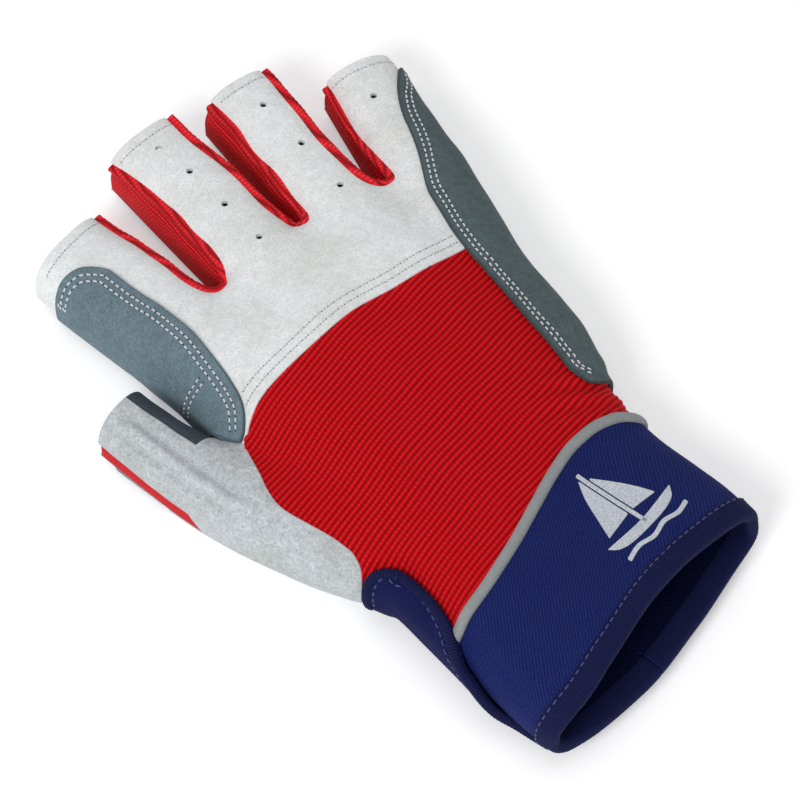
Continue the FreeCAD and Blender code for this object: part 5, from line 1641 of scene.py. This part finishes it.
# thumb
s1 = side_line([(-69.6, 0.0, 22.6), (-71.2, 8.4, 22.2), (-73.2, 23.8, 21.3), (-74.3, 33.5, 20.6)])
s2 = side_line([(-59.5, -15.5, 26.0), (-62.7, -7.9, 25.8), (-65.9, 5.9, 25.2), (-67.7, 21.4, 23.7), (-69.1, 35.4, 22.3)])
rows(s1, 0.38, "grey", pitch=2.3, length=1.6)
rows(s2, 0.38, "grey", pitch=2.3, length=1.6)
th_t = FR["thumb"]
l = np.arange(-10.5, 3.0, 0.5)
xy = th_t["p"] + th_t["d"] * (th_t["L"] - 2.8) + th_t["n"] * l[:, None]
okk = []
hem = side_line(np.column_stack([xy, lift(xy)[:, 2]]))
rows(hem, 0.38, "grey", body="thumb", pitch=2.3, length=1.6)
l = np.arange(2.0, 28.0, 0.5)
cl = side_line(np.column_stack([th_t["p"] + th_t["d"] * l[:, None] + th_t["n"] * 5.2, np.full(len(l), 21.0)]))
rows(cl, 0.33, "dark", pitch=2.3, length=1.6)
# palm layer and overlays, seen from below
rpl = project(np.column_stack([rp, np.full(len(rp), 1.0)]), 3)
inner = beside(rpl, 2.2)
if poly_sd(inner, rp).mean() < 0:
    inner = beside(rpl, -2.2)
rows(inner, 1.32, "grey", keep=lambda C: (poly_sd(C, rp) > 1.2) & (owner(C)[1] < 1.2), body="hand")
for n in FN + ("thumb",):
    hw = 7.4 if n == "thumb" else float(FR[n]["hw"](30.0)) - 3.8
    pp = resample(np.array(plate_poly(n, (4.2 if n != "thumb" else 2.2) + 1.6, FR[n]["L"] - 4.6, hw - 1.6, 2.0) + plate_poly(n, (4.2 if n != "thumb" else 2.2) + 1.6, FR[n]["L"] - 4.6, hw - 1.6, 2.0)[:1]), 0.8)
    rows(project(np.column_stack([pp, np.full(len(pp), 1.0)]), 3), 1.32, "grey", body=n)
# cuff: a row along the rim binding and one along the strap's roll
th_all = TH_C
Yb = YR + 4.7
Pb = project(ring_point(Yb, TH_C), 2, base_cuff)
rows(resample(Pb, 0.8), 1.3, "navy", f=base_cuff, body="hand", pitch=2.5, length=1.8, r=0.24)
SC, SN = STRAP_LINE
st_f = lambda P: 0
q = resample(np.column_stack([SC, SN]), 0.7)


def stitch_at(C0, N0_, lift_, thr, body, pitch=2.5, length=1.7, r=0.24):
    """stitches on a line with its own normals"""
    s = np.concatenate([[0], np.cumsum(np.linalg.norm(np.diff(C0, axis=0), axis=1))])
    n = int(s[-1] / pitch)
    u = (np.arange(n) + 0.5) * s[-1] / n
    C = np.stack([np.interp(u, s, C0[:, k]) for k in range(3)], -1)
    N = np.stack([np.interp(u, s, N0_[:, k]) for k in range(3)], -1)
    T_ = np.stack([np.interp(u + 0.5, s, C0[:, k]) - np.interp(u - 0.5, s, C0[:, k]) for k in range(3)], -1)
    T_ /= np.linalg.norm(T_, axis=1, keepdims=True)
    N /= np.linalg.norm(N, axis=1, keepdims=True)
    Bb = np.cross(N, T_)
    us = np.array([-1.0, -0.7, 0.0, 0.7, 1.0]); rs = np.array([0.4, 0.9, 1.0, 0.9, 0.4]) * r
    ang = np.arange(6) * math.pi / 3
    V = np.empty((n, 5, 6, 3))
    for i in range(5):
        c = C + T_ * (us[i] * length / 2) + N * (lift_ + 0.1 - 0.3 * abs(us[i]) ** 3)
        for j, w in enumerate(ang):
            V[:, i, j] = c + Bb * rs[i] * math.cos(w) + N * rs[i] * math.sin(w) * 0.8
    q = []
    for i in range(4):
        for j in range(6):
            q.append([i * 6 + j, i * 6 + (j + 1) % 6, (i + 1) * 6 + (j + 1) % 6, (i + 1) * 6 + j])
    q += [[5, 4, 3, 2], [5, 2, 1, 0], [24, 25, 26, 27], [24, 27, 28, 29]]
    F = (np.arange(n)[:, None, None] * 30 + np.array(q)[None]).reshape(-1, 4)
    BAG.setdefault((body, thr), []).append((V.reshape(-1, 3), F))


stitch_at(q[:, :3], q[:, 3:], 1.25, "navy", "strap")
THM = {"white": THR, "grey": THR_SHADED_WHITE, "dark": THR_D, "navy": None}
# grey marks for the needle holes in white suede: painted shade of the holes
THM["hole"] = thread("needle_hole_painted_shade", (118, 122, 128))
THR_N = thread("stitching_thread_navy", (58, 62, 128)); THM["navy"] = THR_N
for (b, t), parts in sorted(BAG.items()):
    v, F = join(parts)
    o = add_mesh("stitches_%s_%s" % (b, t), v, F, None, None, THM[t])
    if b in ("hand", "strap"):
        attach(o, b)
    else:
        place(o, None, b)

# ------------------------------------------------------------------ emblem
EC, EA, EK = np.array([12.4, -79.4]), math.radians(10.0), 1.05


def emb(pts):
    p = np.array(pts) * EK
    c, s = math.cos(EA), math.sin(EA)
    return np.column_stack([EC[0] + p[:, 0] * c - p[:, 1] * s, EC[1] + p[:, 0] * s + p[:, 1] * c])


gx = np.arange(-12.0, 36.0, 0.42); gy = np.arange(-103.0, -62.0, 0.42)
GX, GY = np.meshgrid(gx, gy, indexing="ij")
EP = lift(np.column_stack([GX.ravel(), GY.ravel()]), base_cuff)
EP = project(EP, 1, base_cuff); EN = normal(EP, base_cuff)
ii = np.arange(len(gx) * len(gy)).reshape(len(gx), len(gy))
EQ = np.stack([ii[:-1, :-1], ii[1:, :-1], ii[1:, 1:], ii[:-1, 1:]], -1).reshape(-1, 4)
ES = Surf(np.column_stack([EP, EN]), tri(EQ))
shapes = [emb([(-0.55, -9.0), (0.55, -9.0), (0.55, 14.6), (-0.55, 14.6)]),
          emb(resample(catmull([(-1.2, 13.2), (-4.6, 8.0), (-7.4, 2.0), (-9.4, -2.4), (-10.4, -4.6)], 0.6), 0.6).tolist() + [(-1.2, -3.6)]),
          emb(resample(catmull([(1.2, 11.8), (4.4, 6.2), (7.2, 0.4), (9.2, -4.6)], 0.6), 0.6).tolist() + [(1.2, -3.6)]),
          emb(resample(catmull([(-13.6, -6.6), (0.0, -7.6), (13.8, -6.0)], 0.6), 0.6).tolist() + resample(catmull([(13.8, -6.0), (10.6, -9.0), (4.0, -10.4), (-6.0, -10.4), (-11.0, -9.2), (-13.6, -6.6)], 0.6), 0.6).tolist()[1:-1]),
          emb(resample(catmull([(-12.6, -12.4), (-7.5, -11.6), (-2.5, -12.8), (3.0, -11.8), (8.0, -12.8), (12.6, -12.0)], 0.6), 0.6).tolist()
              + resample(catmull([(12.6, -13.2), (8.0, -14.0), (3.0, -13.0), (-2.5, -14.0), (-7.5, -12.8), (-12.6, -13.6)], 0.6), 0.6).tolist())]
parts = []
for k, sh in enumerate(shapes):
    q = ES.clip(lambda v: poly_sd(v, sh))
    d = shell(q, 0.5 + 0.28, 0.32, 0.12, 2)
    parts.append(d)
v = np.concatenate([d["v"] for d in parts]); nn = np.concatenate([d["n"] for d in parts]); rest = np.concatenate([d["rest"] for d in parts])
off = np.cumsum([0] + [len(d["v"]) for d in parts[:-1]])
T_ = np.concatenate([d["T"] + o_ for d, o_ in zip(parts, off)])
o = add_mesh("cuff_sail_print", v, T_, nn, dict(rest=rest), SILVER)
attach(o, "hand"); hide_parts("cuff_sail_emblem")

# -------------------------------------------------- hook and loop, made up
def tape(name, poly, z0, z1, body, node, up, kind):
    poly = np.array(poly, float)
    c = poly.mean(0)
    pts = resample(np.vstack([poly, poly[:1]]), 1.0)[:-1]
    # a woven backing with a soft edge
    rings_ = []
    for k, (ins, z) in enumerate([(0.5, z0), (0.0, z0 + 0.12 * (z1 - z0)), (0.0, z0 + 0.4 * (z1 - z0)), (0.5, z0 + 0.5 * (z1 - z0))]):
        d = pts - c
        q = pts - d / np.linalg.norm(d, axis=1, keepdims=True) * ins
        rings_.append(np.column_stack([q, np.full(len(q), z)]))
    m = len(pts)
    v = np.concatenate(rings_ + [[(*c, z0)], [(*c, z0 + 0.5 * (z1 - z0))]])
    T3 = []
    for r in range(3):
        for j in range(m):
            k = (j + 1) % m
            T3 += [[r * m + j, r * m + k, (r + 1) * m + k], [r * m + j, (r + 1) * m + k, (r + 1) * m + j]]
    for j in range(m):
        k = (j + 1) % m
        T3 += [[4 * m, k, j], [4 * m + 1, 3 * m + j, 3 * m + k]]
    v = v.tolist()
    # rows of small hooks or loops on the working face
    lo_, hi_ = poly.min(0), poly.max(0)
    zb_, zt_ = z0 + 0.45 * (z1 - z0), z1
    for a_ in np.arange(lo_[0] + 1.4, hi_[0] - 1, 1.5):
        for b_ in np.arange(lo_[1] + 1.4, hi_[1] - 1, 1.5):
            p = np.array([[a_ + rng.normal(0, 0.12), b_ + rng.normal(0, 0.12)]])
            if poly_sd(p, poly)[0] < 1.2:
                continue
            w_ = rng.uniform(0, math.pi)
            dx, dy = math.cos(w_), math.sin(w_)
            k0 = len(v)
            prof_ = [(-0.42, 0.0), (-0.38, 0.75), (0.0, 1.0), (0.38, 0.75), (0.42, 0.0)]
            for q_, h_ in prof_:
                x_, y_ = p[0, 0] + dx * q_, p[0, 1] + dy * q_
                z_ = zb_ + (zt_ - zb_) * h_
                v += [[x_ - dy * 0.11, y_ + dx * 0.11, z_], [x_ + dy * 0.11, y_ - dx * 0.11, z_]]
            for r in range(4):
                T3 += [[k0 + 2 * r, k0 + 2 * r + 1, k0 + 2 * r + 3], [k0 + 2 * r, k0 + 2 * r + 3, k0 + 2 * r + 2]]
    v = np.array(v)
    if not up:
        v[:, 2] = z0 + z1 - v[:, 2]
        T3 = np.array(T3)[:, ::-1]
    o = add_mesh(name, v, np.array(T3), None, None, TAPE, smooth=False)
    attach(o, body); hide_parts(node)


HK = (np.array(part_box("strap_hook_patch")) * 1000).tolist()
LK = (np.array(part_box("cuff_loop_patch")) * 1000).tolist()
tape("strap_hook_tape", [(-36.0, -72.0), (-16.0, -76.0), (-16.0, -100.0), (-36.0, -106.0)], HK[0][2], HK[1][2] - 0.05, "strap", "strap_hook_patch", True, "hook")
tape("cuff_loop_tape", [(-38.0, -80.5), (-12.0, -77.5), (-12.0, -103.0), (-38.0, -111.0)], LK[0][2], LK[1][2] - 0.05, "hand", "cuff_loop_patch", False, "loop")

# --------------------------------------------------------- extent of the red knit's points
bb = R.v.max(0) - R.v.min(0)

# --------------------------------------------------------- a loop over the CAD parts, which changes nothing
done = set()
for o in bpy.data.objects:
    if o.type == "MESH" and o.name in frame["nodes"]:
        pass

# ------------------------------------------------- camera, floor and light
AZ, EL, DIST = math.radians(-41.0), math.radians(60.0), 1.5
cam = bpy.data.cameras.new("camera")
cam.sensor_width = 36.0; cam.sensor_fit = "HORIZONTAL"
cam.lens = 3450.0 * DIST * 36.0 / 800.0
cam.clip_end = 20
co = bpy.data.objects.new("camera", cam)
bpy.context.scene.collection.objects.link(co)
dirv = Vector((math.sin(AZ) * math.cos(EL), -math.cos(AZ) * math.cos(EL), math.sin(EL)))
co.location = dirv * DIST
co.rotation_euler = (-dirv).to_track_quat("-Z", "Y").to_euler()
bpy.context.scene.camera = co

fm = bpy.data.materials.new("floor_paper"); fm.use_nodes = True
fb = fm.node_tree.nodes["Principled BSDF"]
fb.inputs["Base Color"].default_value = (0.93, 0.93, 0.94, 1); fb.inputs["Roughness"].default_value = 0.9
fb.inputs["Specular IOR Level"].default_value = 0.1
fb.inputs["Emission Color"].default_value = (1, 1, 1, 1); fb.inputs["Emission Strength"].default_value = 0.3
floor = add_mesh("floor", np.array([(-3000, -3000, -0.05), (3000, -3000, -0.05), (3000, 3000, -0.05), (-3000, 3000, -0.05)]), np.array([[0, 1, 2, 3]]), None, None, fm)


def area(name, loc, power, size, target=(0, 0, 0), color=(1, 1, 1)):
    l = bpy.data.lights.new(name, "AREA"); l.energy = power; l.shape = "DISK"; l.size = size; l.color = color
    o = bpy.data.objects.new(name, l); bpy.context.scene.collection.objects.link(o)
    o.location = loc
    d = Vector(target) - Vector(loc)
    o.rotation_euler = d.to_track_quat("-Z", "Y").to_euler()
    return o


area("key", (-1.35, -0.5, 1.35), 17.0, 0.8)
area("fill", (1.1, 0.7, 1.2), 2.0, 1.2)
area("top", (-0.1, 0.1, 2.0), 6.0, 1.4)
w = bpy.data.worlds.new("studio"); bpy.context.scene.world = w
w.use_nodes = True
w.node_tree.nodes["Background"].inputs[0].default_value = (1, 1, 1, 1)
w.node_tree.nodes["Background"].inputs[1].default_value = 0.42
bpy.context.scene.view_settings.view_transform = "Standard"
